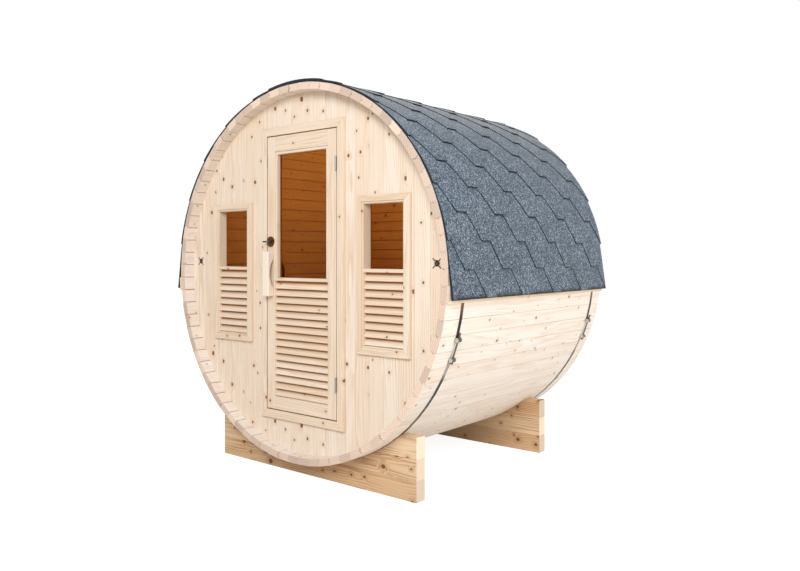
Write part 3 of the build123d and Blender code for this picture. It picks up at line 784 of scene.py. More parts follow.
def make_piece(node: str, work: str, shells: Sequence[Shell], *finishes: Finish, body: Body = Body.ROOT,
               bevel: float = 0.0, smooth: float = 0.0, merge: bool = False) -> None:
    """Makes one object of closed shells, dresses it and ties it to the frame.

    Args:
        node: the CAD node that it stands for.
        work: the word that its name adds to the node's.
        shells: its closed surfaces.
        finishes: the materials, the first for every face that names no other.
        body: the body that it rides on.
        bevel: width in millimetres of eased edges, or 0.
        smooth: the angle in degrees below which faces blend, or 0 for flat faces.
        merge: merges the points of steps that share a place.
    """
    starts = np.cumsum([0] + [len(shell.points) for shell in shells[:-1]])
    loops, totals, numbers = [], [], []
    for shell, start in zip(shells, starts):
        loops += [(shell.quads + start).ravel()] + [cap + start for cap in shell.caps]
        totals += [np.full(len(shell.quads), 4)] + [np.array([len(cap)]) for cap in shell.caps]
        numbers += [np.broadcast_to(shell.finish, len(shell.quads)), np.zeros(len(shell.caps), int)]
    corners, sizes = np.concatenate(loops), np.concatenate(totals)
    points = np.concatenate([shell.points for shell in shells]) * MM
    mesh = bpy.data.meshes.new(f"{node}_{work}")
    mesh.vertices.add(len(points))
    mesh.vertices.foreach_set("co", points.astype(np.float32).ravel())
    mesh.loops.add(len(corners))
    mesh.loops.foreach_set("vertex_index", corners.astype(np.int32))
    mesh.polygons.add(len(sizes))
    mesh.polygons.foreach_set("loop_start", np.concatenate([[0], np.cumsum(sizes)[:-1]]).astype(np.int32))
    mesh.polygons.foreach_set("material_index", np.concatenate(numbers).astype(np.int32))
    mesh.update(calc_edges=True)
    facts = [(shell.grain(), np.tile(shell.directions()[0], (len(shell.points), 1)),
              np.full(len(shell.points), shell.seed * 13.7 % 1.0), np.broadcast_to(shell.stain, len(shell.points)))
             for shell in shells]
    for key, rows in zip(("grain", "fibre", "tone", "stain"), zip(*facts)):
        values = np.concatenate(rows).astype(np.float32)
        kind, word = ("FLOAT_VECTOR", "vector") if values.ndim == 2 else ("FLOAT", "value")
        mesh.attributes.new(key, kind, "POINT").data.foreach_set(word, values.ravel())
    if merge:
        work_mesh = bmesh.new()
        work_mesh.from_mesh(mesh)
        bmesh.ops.remove_doubles(work_mesh, verts=work_mesh.verts, dist=1e-6)
        work_mesh.to_mesh(mesh)
        work_mesh.free()
    mesh.validate()
    piece = bpy.data.objects.new(mesh.name, mesh)
    bpy.context.scene.collection.objects.link(piece)
    for finish in finishes:
        mesh.materials.append(finish.material())
    mesh.shade_flat()
    if smooth:
        mesh.shade_smooth()
        mesh.set_sharp_from_angle(angle=math.radians(smooth))
    if bevel:
        eased = piece.modifiers.new("eased_edges", "BEVEL")
        eased.width, eased.segments = bevel * MM, 2
        eased.limit_method, eased.angle_limit = "ANGLE", BEVEL_ANGLE
    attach(piece, body.value)
    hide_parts(node)
    LOG.info("%s: %d faces", piece.name, len(mesh.polygons))


# Sub-assemblies


@dataclass
class Barrel:
    """Eighty tongued-and-grooved staves, in eight groups, with a groove inside for each end wall."""

    groups: tuple[str, ...] = ("top", "upper_right", "right", "lower_right", "bottom", "lower_left", "left",
                               "upper_left")
    per_group: int = 10
    arris: float = 2.4
    outer_arris: float = 1.3
    joint_gap: float = 0.4
    tongue_low: float = 926.5
    tongue_high: float = 937.5
    tongue_depth: float = 6.0
    tongue_taper: float = 1.5
    tongue_slack: float = 0.5
    unevenness: float = 3.6
    end_ease: float = 0.9
    end_taper: float = 0.985
    # Painted warm bounce light, a slight tan, on the inner faces, and painted shade at the outer joints
    inner_stain: float = 0.15
    joint_stain: float = 0.55
    groove_edges: tuple[float, ...] = (-685.3, -644.7, 644.7, 685.3)

    def half_width(self, radius: float) -> float:
        """Returns half of a stave's width at this radius."""
        return radius * math.tan(STAVE_STEP / 2) - self.joint_gap / 2

    def outline(self, inner: float, outer: float) -> np.ndarray:
        """Outline of the top stave, tongue on the right and slot on the left, with eased corners.

        Args:
            inner: radius of the inner face.
            outer: radius of the outer face.

        Returns:
            Sixteen points as distance across and radius.
        """
        ease, shy, half, taper = self.arris, self.outer_arris, self.half_width, self.tongue_taper
        low, high, depth = self.tongue_low, self.tongue_high, self.tongue_depth
        under, over, deep = low - self.tongue_slack, high + self.tongue_slack, depth + self.tongue_slack
        return np.array([
            (-half(inner) + ease, inner), (half(inner) - ease, inner), (half(inner + ease), inner + ease),
            (half(low), low), (half(low) + depth, low + taper), (half(high) + depth, high - taper),
            (half(high), high), (half(outer - shy), outer - shy), (half(outer) - shy, outer),
            (-half(outer) + shy, outer), (-half(outer - shy), outer - shy), (-half(over), over),
            (-half(over) + deep, over - taper), (-half(under) + deep, under + taper),
            (-half(under), under), (-half(inner + ease), inner + ease)])

    def stave(self, number: int) -> Shell:
        """One stave: its outline stands at each station along Y, turned about the barrel's axis.

        Args:
            number: its place, clockwise from the top.

        Returns:
            The closed shell.
        """
        plain, grooved = (self.outline(inner, OUTER_RADIUS) for inner in (INNER_RADIUS, GROOVE_RADIUS))
        end = self.outline(INNER_RADIUS + self.end_ease, OUTER_RADIUS - self.end_ease) * (self.end_taper, 1.0)
        front = FRONT + self.unevenness * DRAWS.random() ** 2
        stations = [(front, end), (front + self.end_ease, plain)]
        for place, y in enumerate(self.groove_edges):
            stations += [(y, plain), (y, grooved)][::-1 if place % 2 else 1]
        stations += [(REAR - self.end_ease, plain), (REAR, end)]
        across, radius = np.moveaxis(np.stack([outline for _, outline in stations]), -1, 0)
        along = np.array([y for y, _ in stations])[:, None] + np.zeros_like(across)
        cosine, sine = math.cos(number * STAVE_STEP), math.sin(number * STAVE_STEP)
        rings = np.stack([across * cosine + radius * sine, along, AXIS + radius * cosine - across * sine], -1)
        # Painted shade in the joints, less at outer arrises; painted bounce light inside; none outside or at ends
        stain = np.ones(across.shape)
        stain[:, [0, 1]] = self.inner_stain
        stain[:, [7, 10]] = self.joint_stain
        stain[:, [8, 9]] = stain[[0, -1]] = 0.0
        return loft(rings, fibre=np.array([(0, 1, 0), (cosine, 0, -sine), (sine, 0, cosine)]), stain=stain.ravel())

    def build(self) -> None:
        """Builds the eight groups of staves."""
        for group, word in enumerate(self.groups):
            first = group * self.per_group - self.per_group // 2
            staves = [self.stave(first + place) for place in range(self.per_group)]
            make_piece(f"staves_{word}", "planed", staves, STAVE_SPRUCE, merge=True)


@dataclass
class FrontWall:
    """Matched upright boards with small V joints, cut to a circle and round the door and windows."""

    faces: tuple[float, float] = (FRONT_FACE, FRONT_BACK)
    pitch: float = 90.0
    joint_width: float = 2.6
    joint_depth: float = 2.2
    joint_stain: float = 0.3
    seed_count: int = 24
    rim_step: float = 2.5
    door_half_width: float = 273.3
    door_half_height: float = 732.3
    window_inner: float = 412.7
    window_outer: float = 677.3
    window_half_height: float = 346.3
    vent: tuple[float, float] = (847.0, 57.0)
    vent_radius: float = 15.0
    vent_block: float = 22.0
    vent_ease: float = 0.4
    vent_steps: int = 48
    seeds: np.ndarray = field(init=False)

    def seams(self) -> np.ndarray:
        """Returns the places of the joints between boards, from one side of the wall to the other."""
        reach = int(WALL_RADIUS // self.pitch) + 1
        return np.arange(-reach, reach + 1) * self.pitch

    def part(self, left: float, right: float, low: float, high: float) -> Shell:
        """One board, or a part of one, clipped to the wall's circle, with a V sunk at each joint.

        Args:
            left: its left side.
            right: its right side.
            low: its lowest level from the axis.
            high: its highest level from the axis.

        Returns:
            The closed shell.
        """
        rim = WALL_RADIUS * np.sin(np.radians(np.arange(-90, 90.1, self.rim_step)))
        marks = np.concatenate([rim, self.seams() - self.joint_width, self.seams() + self.joint_width])
        x = np.unique(np.concatenate([[left], marks[(marks > left + GAP) & (marks < right - GAP)], [right]]))
        edge = np.sqrt(np.maximum(WALL_RADIUS**2 - x**2, 0.0))
        away = np.abs((x + self.pitch / 2) % self.pitch - self.pitch / 2)
        sink = self.joint_depth * np.maximum(0.0, 1 - away / self.joint_width)
        # Painted shade in each V joint, as deep as the V
        return slab(x, self.faces[0] + sink, self.faces[1] - sink, np.maximum(-edge, low), np.minimum(edge, high),
                    sink / self.joint_depth * self.joint_stain, fibre=Fibre.Z, seed=self.seed(left, right))

    def seed(self, left: float, right: float) -> float:
        """Returns the number of the board that a part between two sides belongs to."""
        return float(self.seeds[int((left + right) / 2 // self.pitch)])

    def pierced(self, side: int, seed: float) -> Shell:
        """The block round a vent: rings from the round hole out to a square, on both faces.

        Args:
            side: -1 on the left and 1 on the right.
            seed: the number of the board that it belongs to.

        Returns:
            The closed shell, a ring that is carried round the hole.
        """
        angle = np.linspace(0, 2 * math.pi, self.vent_steps + 1)[:-1]
        circle = self.vent_radius * np.stack([np.cos(angle), np.sin(angle)], -1)
        square = self.vent_block * circle / np.abs(circle).max(1, keepdims=True)
        bore = circle * (1 - self.vent_ease / self.vent_radius)
        front, back = self.faces
        loop = ((circle, front), (square, front), (square, back), (circle, back),
                (bore, back - self.vent_ease), (bore, front + self.vent_ease))
        middle = (side * self.vent[0], AXIS + self.vent[1])
        points = np.stack([np.insert(flat + middle, 1, y, axis=1) for flat, y in loop], 1)
        number = np.arange(self.vent_steps * 6).reshape(-1, 6)
        along, around = np.roll(number, -1, 0), np.roll(number, -1, 1)
        quads = np.stack([number, along, np.roll(along, -1, 1), around], -1).reshape(-1, 4)
        # The bore gets full painted shade on the hole's wall
        return Shell(points.reshape(-1, 3), quads, fibre=Fibre.Z, seed=seed,
                     stain=np.tile((0.0, 0.0, 0.0, 0.0, 1.0, 1.0), self.vent_steps)).outward()

    def region(self, left: float, right: float, low: float, high: float) -> list[Shell]:
        """All boards between two sides and two levels, with the vent cut through where it falls.

        Args:
            left: the region's left side.
            right: its right side.
            low: its lowest level from the axis.
            high: its highest level from the axis.

        Returns:
            The closed shells.
        """
        seams = self.seams()
        cuts = np.concatenate([[left], seams[(seams > left + 1) & (seams < right - 1)], [right]])
        parts = []
        for start, end in zip(cuts[:-1], cuts[1:]):
            side = 1 if start > 0 else -1
            hole, level = side * self.vent[0], self.vent[1]
            if self.faces[0] == FRONT_FACE and start < hole < end:
                near, far = hole - self.vent_block, hole + self.vent_block
                pieces = [self.part(start, near, low, high), self.part(near, far, low, level - self.vent_block),
                          self.pierced(side, self.seed(start, end)),
                          self.part(near, far, level + self.vent_block, high), self.part(far, end, low, high)]
                for piece in pieces:
                    piece.seed = self.seed(start, end)
                parts += pieces
            else:
                parts.append(self.part(start, end, low, high))
        return parts

    def build(self) -> None:
        """Builds the front wall in its four parts."""
        self.seeds = DRAWS.random(self.seed_count)
        door, near, far, full = self.door_half_width, self.window_inner, self.window_outer, WALL_RADIUS
        bands = ((door, near, -full, full), (near, far, self.window_half_height, full),
                 (near, far, -full, -self.window_half_height), (far, full, -full, full))
        walls = {word: [(*sorted((side * start, side * end)), low, high) for start, end, low, high in bands]
                 for side, word in ((-1, "left"), (1, "right"))}
        walls["over_door"] = [(-door, door, self.door_half_height, full)]
        walls["under_door"] = [(-door, door, -full, -self.door_half_height)]
        for word, regions in walls.items():
            boards = [shell for region in regions for shell in self.region(*region)]
            make_piece(f"front_wall_{word}", "boards", boards, BOARD_SPRUCE)


@dataclass
class RearWall(FrontWall):
    """Level boards with wider joints under full painted shade: an upright wall that is laid by a quarter turn."""

    faces: tuple[float, float] = (-FRONT_BACK, -FRONT_FACE)
    pitch: float = 64.0
    joint_width: float = 4.5
    joint_stain: float = 1.0
    seed_count: int = 30

    def laid(self, shell: Shell) -> Shell:
        """Lays an upright board level, by a quarter turn about the barrel's axis.

        Args:
            shell: the upright board.

        Returns:
            The level board.
        """
        x, y, z = shell.points.T
        return Shell(np.column_stack([AXIS - z, y, AXIS + x]), shell.quads, shell.caps, fibre=Fibre.X,
                     seed=shell.seed, stain=shell.stain).outward()

    def build(self) -> None:
        """Builds the wall as one round field of boards."""
        self.seeds = DRAWS.random(self.seed_count)
        boards = self.region(-WALL_RADIUS, WALL_RADIUS, -WALL_RADIUS, WALL_RADIUS)
        make_piece("rear_wall", "boards", [self.laid(shell) for shell in boards], BOARD_SPRUCE)


@dataclass
class Doorway:
    """The casing, and the lining with its stops."""

    half_width: float = 255.0
    half_height: float = 714.0
    casing: float = 44.0
    lining: float = 18.0
    stop: float = 12.0
    stop_setback: float = 5.0
    hidden_edge: float = 3.0
    wall_edge: float = 4.0

    def build(self) -> None:
        """Builds the casing's profile round the opening, and the squared boards of the lining and stops."""
        edge = self.hidden_edge
        # Painted shade, the profile's third number: on the back and the side towards the opening, and where the
        # outer side meets the wall
        profile = ((0, LEAF_FACE, 0.2), (edge, LEAF_FACE, 0), (self.casing, LEAF_FACE, 0),
                   (self.casing, FRONT_FACE - self.wall_edge, 0), (self.casing, FRONT_FACE, 1),
                   (0, FRONT_FACE, 1), (0, LEAF_FACE + edge, 1))
        casing = mitred_frame(0.0, self.half_width, self.half_height, profile)
        make_piece("door_casing", "boards", casing, JOINERY_SPRUCE, bevel=2.0)
        boards = butted_frame(0.0, self.half_width, self.half_height, self.lining, FRONT_FACE + GAP, FRONT_BACK)
        boards += butted_frame(0.0, self.half_width - self.stop, self.half_height - self.stop, self.stop - GAP,
                               LEAF_BACK + self.stop_setback, FRONT_BACK)
        make_piece("door_frame", "boards", boards, JOINERY_SPRUCE, bevel=0.8)


@dataclass
class DoorLeaf:
    """The hinged leaf: stiles, rails, beads round the pane, louvre slats and a pull on each face."""

    half_width: float = 250.0
    half_height: float = 709.0
    stile: float = 56.0
    top_rail: float = 79.0
    bottom_rail: float = 67.0
    bar_top: float = -25.0
    bar_height: float = 16.0
    bead: float = 15.0
    bead_setback: float = 4.0
    glass: tuple[float, float] = (-673.0, -669.0)
    slats: int = 16
    pull_height: float = 234.0
    pull_depth: float = 40.0
    pull_width: float = 44.0
    pull_drop: float = 5.0
    pull_ease: float = 4.5
    pull_stain: float = 0.2
    inner_pull_x: float = -211.0
    finger_length: float = 152.0
    finger_depth: float = 26.0
    finger_points: int = 33

    def beads(self, front: float, back: float) -> list[Shell]:
        """The two upright beads and the one across the top, on one face of the pane.

        Args:
            front: Y of their front faces.
            back: Y of their back faces.

        Returns:
            The three beads.
        """
        half, top = self.half_width - self.stile, self.half_height - self.top_rail
        inner = half - self.bead - GAP
        sides = [board((s * half, front, self.bar_top + GAP), (s * (half - self.bead), back, top - GAP), Fibre.Z)
                 for s in (-1, 1)]
        return sides + [board((-inner, front, top - self.bead), (inner, back, top), Fibre.X)]

    def pull(self, face: float, outward: int, centre: float) -> Shell:
        """A pull: its side view is a block with an arc cut out next to the leaf, carried across X.

        Args:
            face: Y of the leaf's face that it is screwed to.
            outward: -1 in front of the leaf and 1 behind it.
            centre: X of its middle.

        Returns:
            The closed shell.
        """
        radius = ((self.finger_length / 2) ** 2 + self.finger_depth**2) / (2 * self.finger_depth)
        sweep = math.asin(self.finger_length / 2 / radius)
        angle = np.linspace(-sweep, sweep, self.finger_points)
        arc = np.column_stack([radius * np.cos(angle) - radius + self.finger_depth, radius * np.sin(angle)])
        half, depth, side = self.pull_height / 2, self.pull_depth, self.pull_width / 2
        view = np.concatenate([arc, [(0, half), (depth, half), (depth, -half), (0, -half)]])
        view = view * (outward, 1) + (face, AXIS - self.pull_drop)
        # Painted shade in the finger hollow: full on its arc, less where the arc meets the pull's sides
        brown = np.concatenate([np.ones(len(arc)), np.zeros(4)])
        stain = np.concatenate([self.pull_stain * brown, brown, brown, self.pull_stain * brown])
        across = np.array([-side, self.pull_ease - side, side - self.pull_ease, side]) + centre
        return carried(view, across, 0, fibre=Fibre.Z, stain=stain)

    def build(self) -> None:
        """Builds the leaf's wooden pieces, which all ride on the door."""
        inner, bar_low = self.half_width - self.stile, self.bar_top - self.bar_height
        top, low = self.half_height - self.top_rail, self.bottom_rail - self.half_height
        stiles = [board((s * inner, LEAF_FACE, -self.half_height),
                        (s * self.half_width, LEAF_BACK, self.half_height), Fibre.Z) for s in (-1, 1)]
        rails = [board((-inner, LEAF_FACE, start), (inner, LEAF_BACK, end), Fibre.X)
                 for start, end in ((top, self.half_height), (bar_low, self.bar_top), (-self.half_height, low))]
        beads = self.beads(LEAF_FACE + self.bead_setback, self.glass[0] - GAP)
        beads += self.beads(self.glass[1] + GAP, LEAF_BACK)
        slats = Louvre().build(0.0, inner, LEAF_FACE, bar_low, low, self.slats)
        outer_pull = [self.pull(LEAF_FACE, -1, self.stile / 2 - self.half_width)]
        inner_pull = [self.pull(LEAF_BACK, 1, self.inner_pull_x)]
        for node, shells, bevel, finish in (
            ("door_stiles", stiles, 1.5, JOINERY_SPRUCE), ("door_rails", rails, 1.0, JOINERY_SPRUCE),
            ("door_beads", beads, 2.5, JOINERY_SPRUCE), ("door_slats", slats, 0.0, JOINERY_SPRUCE),
            ("outer_handle", outer_pull, 4.0, PULL_ASPEN), ("inner_handle", inner_pull, 4.0, PULL_ASPEN),
        ):
            make_piece(node, "wood", shells, finish, body=Body.DOOR, bevel=bevel)


@dataclass
class Window:
    """A fixed window: a stepped casing, a lining with a bar, and a louvre below the pane."""

    word: str
    centre: float
    half_width: float = 120.0
    half_height: float = 334.0
    casing: float = 40.0
    step_width: float = 9.0
    step_depth: float = 5.0
    hidden_edge: float = 2.0
    wall_edge: float = 4.0
    lining: float = 12.0
    overhang: float = 8.0
    bar_top: float = 28.0
    bar_height: float = 16.0
    bar_depth: float = 50.0
    slats: int = 9

    def build(self) -> None:
        """Builds the casing's profile round the opening, the squared lining and bar, and the slats."""
        stepped, bar_low = LEAF_FACE + self.step_depth, self.bar_top - self.bar_height
        centre, half = self.centre, self.half_width
        # Painted shade, the profile's third number: part in the step's inner corner, full where the outer side
        # meets the wall
        profile = ((0, stepped, 0), (self.step_width - self.hidden_edge, stepped, 0),
                   (self.step_width, stepped, 0.5), (self.step_width, LEAF_FACE, 0),
                   (self.casing, LEAF_FACE, 0), (self.casing, FRONT_FACE - self.wall_edge, 0),
                   (self.casing, FRONT_FACE, 1), (0, FRONT_FACE, 0))
        shells = mitred_frame(centre, half, self.half_height, profile)
        shells += butted_frame(centre, half, self.half_height, self.lining, FRONT_FACE + GAP,
                               FRONT_BACK + self.overhang)
        shells.append(board((centre - half + GAP, stepped, bar_low),
                            (centre + half - GAP, stepped + self.bar_depth, self.bar_top), Fibre.X))
        make_piece(f"{self.word}_window_frame", "wood", shells, JOINERY_SPRUCE, bevel=1.5)
        slats = Louvre().build(centre, half, stepped, bar_low, -self.half_height, self.slats)
        make_piece(f"{self.word}_window_slats", "wood", slats, JOINERY_SPRUCE)


@dataclass
class Roof:
    """Hexagonal shingles in eleven lapped courses a side, with lapped tabs along the ridge."""

    base: float = 955.954
    underlay: float = 952.604
    flare_angle: float = math.radians(6.2524)
    flare_length: float = 204.966
    slope: float = 1597.36
    course: float = 127.94
    courses: int = 11
    butt: float = 9.39
    sheet: float = 4.1
    least_lift: float = 0.05
    tail: float = 276.0
    starter_width: float = 150.0
    period: float = 309.0
    flat: float = 75.0
    slant: float = 79.0
    first_tab: float = 261.0
    ridge_half: float = 190.0
    ridge_rise: float = 11.4
    ridge_tabs: int = 10
    ridge_gap: float = 0.2
    half_length: float = 748.0
    # width of the painted shadow along each cut edge
    edge_shadow_width: float = 5.0
    curl: float = 0.5
    curl_wave: float = 37.0
    curl_shift: float = 2.3
    curl_fade: float = 9.0
    rows: int = 14
    ridge_rows: int = 25

    def place(self, along: np.ndarray, y: np.ndarray, rise: np.ndarray, side: int) -> np.ndarray:
        """Points on the roof: an arc round the barrel's axis, then straight down below the flare.

        Args:
            along: distance up the slope from the eave.
            y: place along the barrel.
            rise: height above the shingles' base.
            side: -1 on the left and 1 on the right.

        Returns:
            The points, with a last axis of three.
        """
        radius, past = self.base + rise, along - self.flare_length
        angle = self.flare_angle + np.maximum(past, 0.0) / self.underlay
        under = np.minimum(past, 0.0)
        x = radius * np.cos(angle) - under * math.sin(self.flare_angle)
        z = radius * np.sin(angle) + under * math.cos(self.flare_angle)
        return np.stack([side * x, y + np.zeros_like(x), AXIS + z], -1)

    def shift(self, number: int) -> float:
        """Returns the place of a course's first tab, half a period further on in every other course."""
        return FRONT + self.first_tab + (self.period / 2 if number % 2 else 0.0)

    def wrap(self, top: np.ndarray, bottom: np.ndarray) -> Shell:
        """Closes an upper and a lower grid into one sheet, with cut edges all round.

        Args:
            top: the upper face, as rows, columns and coordinates.
            bottom: the lower face, in the same order.

        Returns:
            The closed shell, granules above and bitumen elsewhere, with a painted shadow along the first row.
        """
        rows, columns, _ = top.shape
        size = rows * columns
        number = np.arange(size).reshape(rows, columns)
        face = np.stack([number[:-1, :-1], number[:-1, 1:], number[1:, 1:], number[1:, :-1]], -1).reshape(-1, 4)
        rim = np.concatenate([number[0, :], number[1:, -1], number[-1, -2::-1], number[-2:0:-1, 0]])
        after = np.roll(rim, -1)
        edge = np.stack([rim, rim + size, after + size, after], -1)
        finish = np.ones(2 * len(face) + len(edge), int)
        finish[:len(face)] = 0
        # Painted shadow on the first row, along the cut edge
        painted_edge_shadow = np.zeros(2 * size)
        painted_edge_shadow[number[0]] = 1.0
        return Shell(np.concatenate([top.reshape(-1, 3), bottom.reshape(-1, 3)]),
                     np.concatenate([face, face[:, ::-1] + size, edge]), seed=0.5, finish=finish,
                     stain=painted_edge_shadow).outward()

    def strip(self, number: int, side: int) -> Shell:
        """One course: rows run from its cut edge up to a straight top under the courses above it.

        The cut edge is flat, slants up, is flat again and slants down, once in each period.

        Args:
            number: the course, from 0 at the eave.
            side: -1 on the left and 1 on the right.

        Returns:
            The closed shell.
        """
        turns = np.array([0.0, self.flat, self.flat + self.slant, self.period - self.slant, self.period])
        marks = (self.shift(number) + np.arange(-6, 7)[:, None] * self.period + turns[:-1]).ravel()
        marks = marks[(marks > -self.half_length + 1) & (marks < self.half_length - 1)]
        y = np.unique(np.concatenate([[-self.half_length], marks, [self.half_length]]))
        y = np.sort(np.concatenate([y, (y[1:] + y[:-1]) / 2]))
        cut = np.interp((y - self.shift(number)) % self.period, turns, (0.0, 0.0, self.course, self.course, 0.0))
        low = number * self.course
        stop = min(low + self.tail, self.slope - self.ridge_half - self.ridge_gap)
        foot = np.minimum(low + cut, stop - 1.0)
        share = np.concatenate([[0.0, self.edge_shadow_width / self.tail], np.linspace(0, 1, self.rows)[1:]])[:, None]
        along = foot + share * (stop - foot)
        wave = 0.5 + 0.5 * np.sin(y / self.curl_wave + self.curl_shift * number)
        curl = self.curl * wave * np.exp(-share * self.curl_fade)
        rise = self.butt - self.sheet * (along - low) / self.course - curl
        under = np.maximum(rise + curl - self.sheet, self.least_lift)
        return self.wrap(*(self.place(along, y, level, side) for level in (rise, under)))

    def starter(self, side: int) -> Shell:
        """The straight strip at the eave, under the first course: it thins evenly up the slope.

        Args:
            side: -1 on the left and 1 on the right.

        Returns:
            The closed shell.
        """
        along = np.linspace(0.0, self.starter_width, 8)[:, None] + np.zeros((1, 2))
        y = np.array([-self.half_length, self.half_length])
        rise = (self.butt - self.sheet) * (1 - along / (2 * self.course))
        return self.wrap(*(self.place(along, y, level, side) for level in (rise, 0 * rise + self.least_lift)))

    def ridge_tab(self, start: float, pitch: float, foot: float) -> Shell:
        """One tab across the ridge: thickest at its front edge, and thinner under the next one.

        Args:
            start: Y of its front edge.
            pitch: distance from tab to tab.
            foot: how much lower it lies than the others.

        Returns:
            The closed shell.
        """
        y = np.array([start, min(start + 2 * pitch, self.half_length)])
        over = np.linspace(-self.ridge_half, self.ridge_half, self.ridge_rows)[:, None]
        angle = over / self.underlay + np.zeros((1, 2))
        sheet = self.ridge_rise / 3
        rise = self.ridge_rise - foot - sheet * (y - start) / pitch
        under = np.maximum(rise - (sheet if foot == 0.0 else self.ridge_rise), self.least_lift)
        return self.wrap(*(np.stack([(self.base + level) * np.sin(angle), y + np.zeros_like(angle),
                                     AXIS + (self.base + level) * np.cos(angle)], -1) for level in (rise, under)))

    def build(self) -> None:
        """Builds both slopes and the ridge."""
        for side, node in ((-1, "shingles_left"), (1, "shingles_right")):
            strips = [self.starter(side)] + [self.strip(number, side) for number in range(self.courses)]
            make_piece(node, "tabs", strips, GRANULES, BITUMEN, smooth=30)
        pitch = 2 * self.half_length / self.ridge_tabs
        tabs = [self.ridge_tab(-self.half_length, pitch, self.ridge_rise / 3)]
        tabs += [self.ridge_tab(-self.half_length + number * pitch, pitch, 0.0)
                 for number in range(self.ridge_tabs)]
        make_piece("ridge_cap", "tabs", tabs, GRANULES, BITUMEN, smooth=30)


@dataclass
class Cradle:
    """A thick plank of three glued timbers on edge, with a round seat for the barrel."""

    node: str
    front: float
    seat: float
    half_width: float = 693.99
    thickness: float = 62.0
    timbers: tuple[float, ...] = (0.0, 99.0, 198.0, 297.0)
    seat_step: float = 1.5

    def build(self) -> None:
        """Builds the timbers: each one's upper end is the lower of its own top and the round seat."""
        arc = self.seat * np.sin(np.radians(np.arange(-45, 45.1, self.seat_step)))
        shells = []
        for low, high in zip(self.timbers[:-1], self.timbers[1:]):
            seed = DRAWS.random()
            chord = math.sqrt(self.seat**2 - (AXIS - high) ** 2)
            spans = [(-self.half_width, self.half_width)]
            if low > 0.0:
                inner = 0.0 if AXIS - self.seat > low else math.sqrt(self.seat**2 - (AXIS - low) ** 2)
                spans = [(-self.half_width, -inner), (inner, self.half_width)]
            for left, right in spans:
                marks = np.concatenate([arc[np.abs(arc) < chord], [-chord, chord, left, right]])
                x = np.unique(marks[(marks >= left) & (marks <= right)])
                top = np.clip(-np.sqrt(np.maximum(self.seat**2 - x**2, 0.0)), low - AXIS, high - AXIS)
                shells.append(slab(x, self.front, self.front + self.thickness, low - AXIS, top, fibre=Fibre.X,
                                   seed=seed))
        make_piece(self.node, "timbers", shells, CRADLE_PINE, bevel=1.6)


@dataclass
class FloorDeck:
    """Boards along the barrel on three bearers whose undersides follow the staves."""

    half_width: float = 514.825
    count: int = 8
    gap: float = 8.0
    top: float = -725.0
    thickness: float = 24.0
    half_length: float = 642.0
    bearers: tuple[float, ...] = (-465.0, 0.0, 465.0)
    bearer_half: float = 22.5
    bearer_radius: float = 913.7

    def build(self) -> None:
        """Builds squared boards, and bearers whose lower edge is a circle: the root of R^2 - x^2 down."""
        level = self.top - self.thickness
        width = (2 * self.half_width - (self.count - 1) * self.gap) / self.count
        lefts = -self.half_width + np.arange(self.count) * (width + self.gap)
        boards = [board((left, -self.half_length, level), (left + width, self.half_length, self.top), Fibre.Y)
                  for left in lefts]
        make_piece("floor_boards", "planed", boards, BOARD_SPRUCE, bevel=2.0)
        chord = math.sqrt(self.bearer_radius**2 - level**2)
        x = np.linspace(-chord, chord, 41)
        low = np.minimum(-np.sqrt(self.bearer_radius**2 - x**2), level)
        shells = [slab(x, y - self.bearer_half, y + self.bearer_half, low, level, fibre=Fibre.X)
                  for y in self.bearers]
        make_piece("floor_bearers", "sawn", shells, BOARD_SPRUCE)


@dataclass
class EaveBattens:
    """A batten along each eave, notched over the two hoops."""

    inner: float = 950.3
    thickness: float = 12.0
    half_width: float = 37.0
    notch: float = 952.634
    hoops: tuple[float, ...] = (-628.0, 645.0)
    notch_half: float = 10.5

    def build(self) -> None:
        """Builds both battens: a rectangle carried along Y, whose inner side steps out over each hoop."""
        stations = [(FRONT, self.inner)]
        for hoop in self.hoops:
            near, far = hoop - self.notch_half, hoop + self.notch_half
            stations += [(near, self.inner), (near, self.notch), (far, self.notch), (far, self.inner)]
        stations.append((REAR, self.inner))
        outer, half = self.inner + self.thickness, self.half_width
        shells = []
        for side in (1, -1):
            out = np.array([side * math.cos(STAVE_STEP), 0.0, -math.sin(STAVE_STEP)])
            up = np.array([side * math.sin(STAVE_STEP), 0.0, math.cos(STAVE_STEP)])
            rings = [np.array([(inner, -half), (outer, -half), (outer, half), (inner, half)]) @ (out, up)
                     + (0.0, y, AXIS) for y, inner in stations]
            shells.append(loft(rings, fibre=np.array([(0, 1, 0), up, out])))
        make_piece("eave_battens", "planed", shells, BATTEN_SPRUCE, merge=True)


@dataclass
class VentGuards:
    """Two crossed steel straps over each vent, with round ends."""

    centre: float = 847.0
    level: float = 57.0
    half_length: float = 32.0
    half_width: float = 2.6
    thickness: float = 1.0

    def strap(self, side: int, lean: int, lift: float) -> Shell:
        """One strap: an outline with round ends, carried through its thickness.

        Args:
            side: -1 for the left vent and 1 for the right one.
            lean: 1 or -1 for the two ways that it slants.
            lift: how far its face stands out from the wall.

        Returns:
            The closed shell.
        """
        turn = np.radians(np.arange(-90, 91, 30))
        end = np.column_stack([self.half_length - self.half_width * (1 - np.cos(turn)),
                               self.half_width * np.sin(turn)])
        flat = np.concatenate([end, -end]) @ np.array([(1, lean), (-lean, 1)]) / math.sqrt(2)
        return carried(flat + (side * self.centre, AXIS + self.level),
                       (FRONT_FACE - lift + self.thickness, FRONT_FACE - lift), 1)

    def build(self) -> None:
        """Builds the four straps, one of each pair on top of the other."""
        straps = [self.strap(side, lean, layer * self.thickness) for side in (-1, 1)
                  for lean, layer in ((1, 1), (-1, 2))]
        make_piece("vent_guards", "straps", straps, STRAP_STEEL)


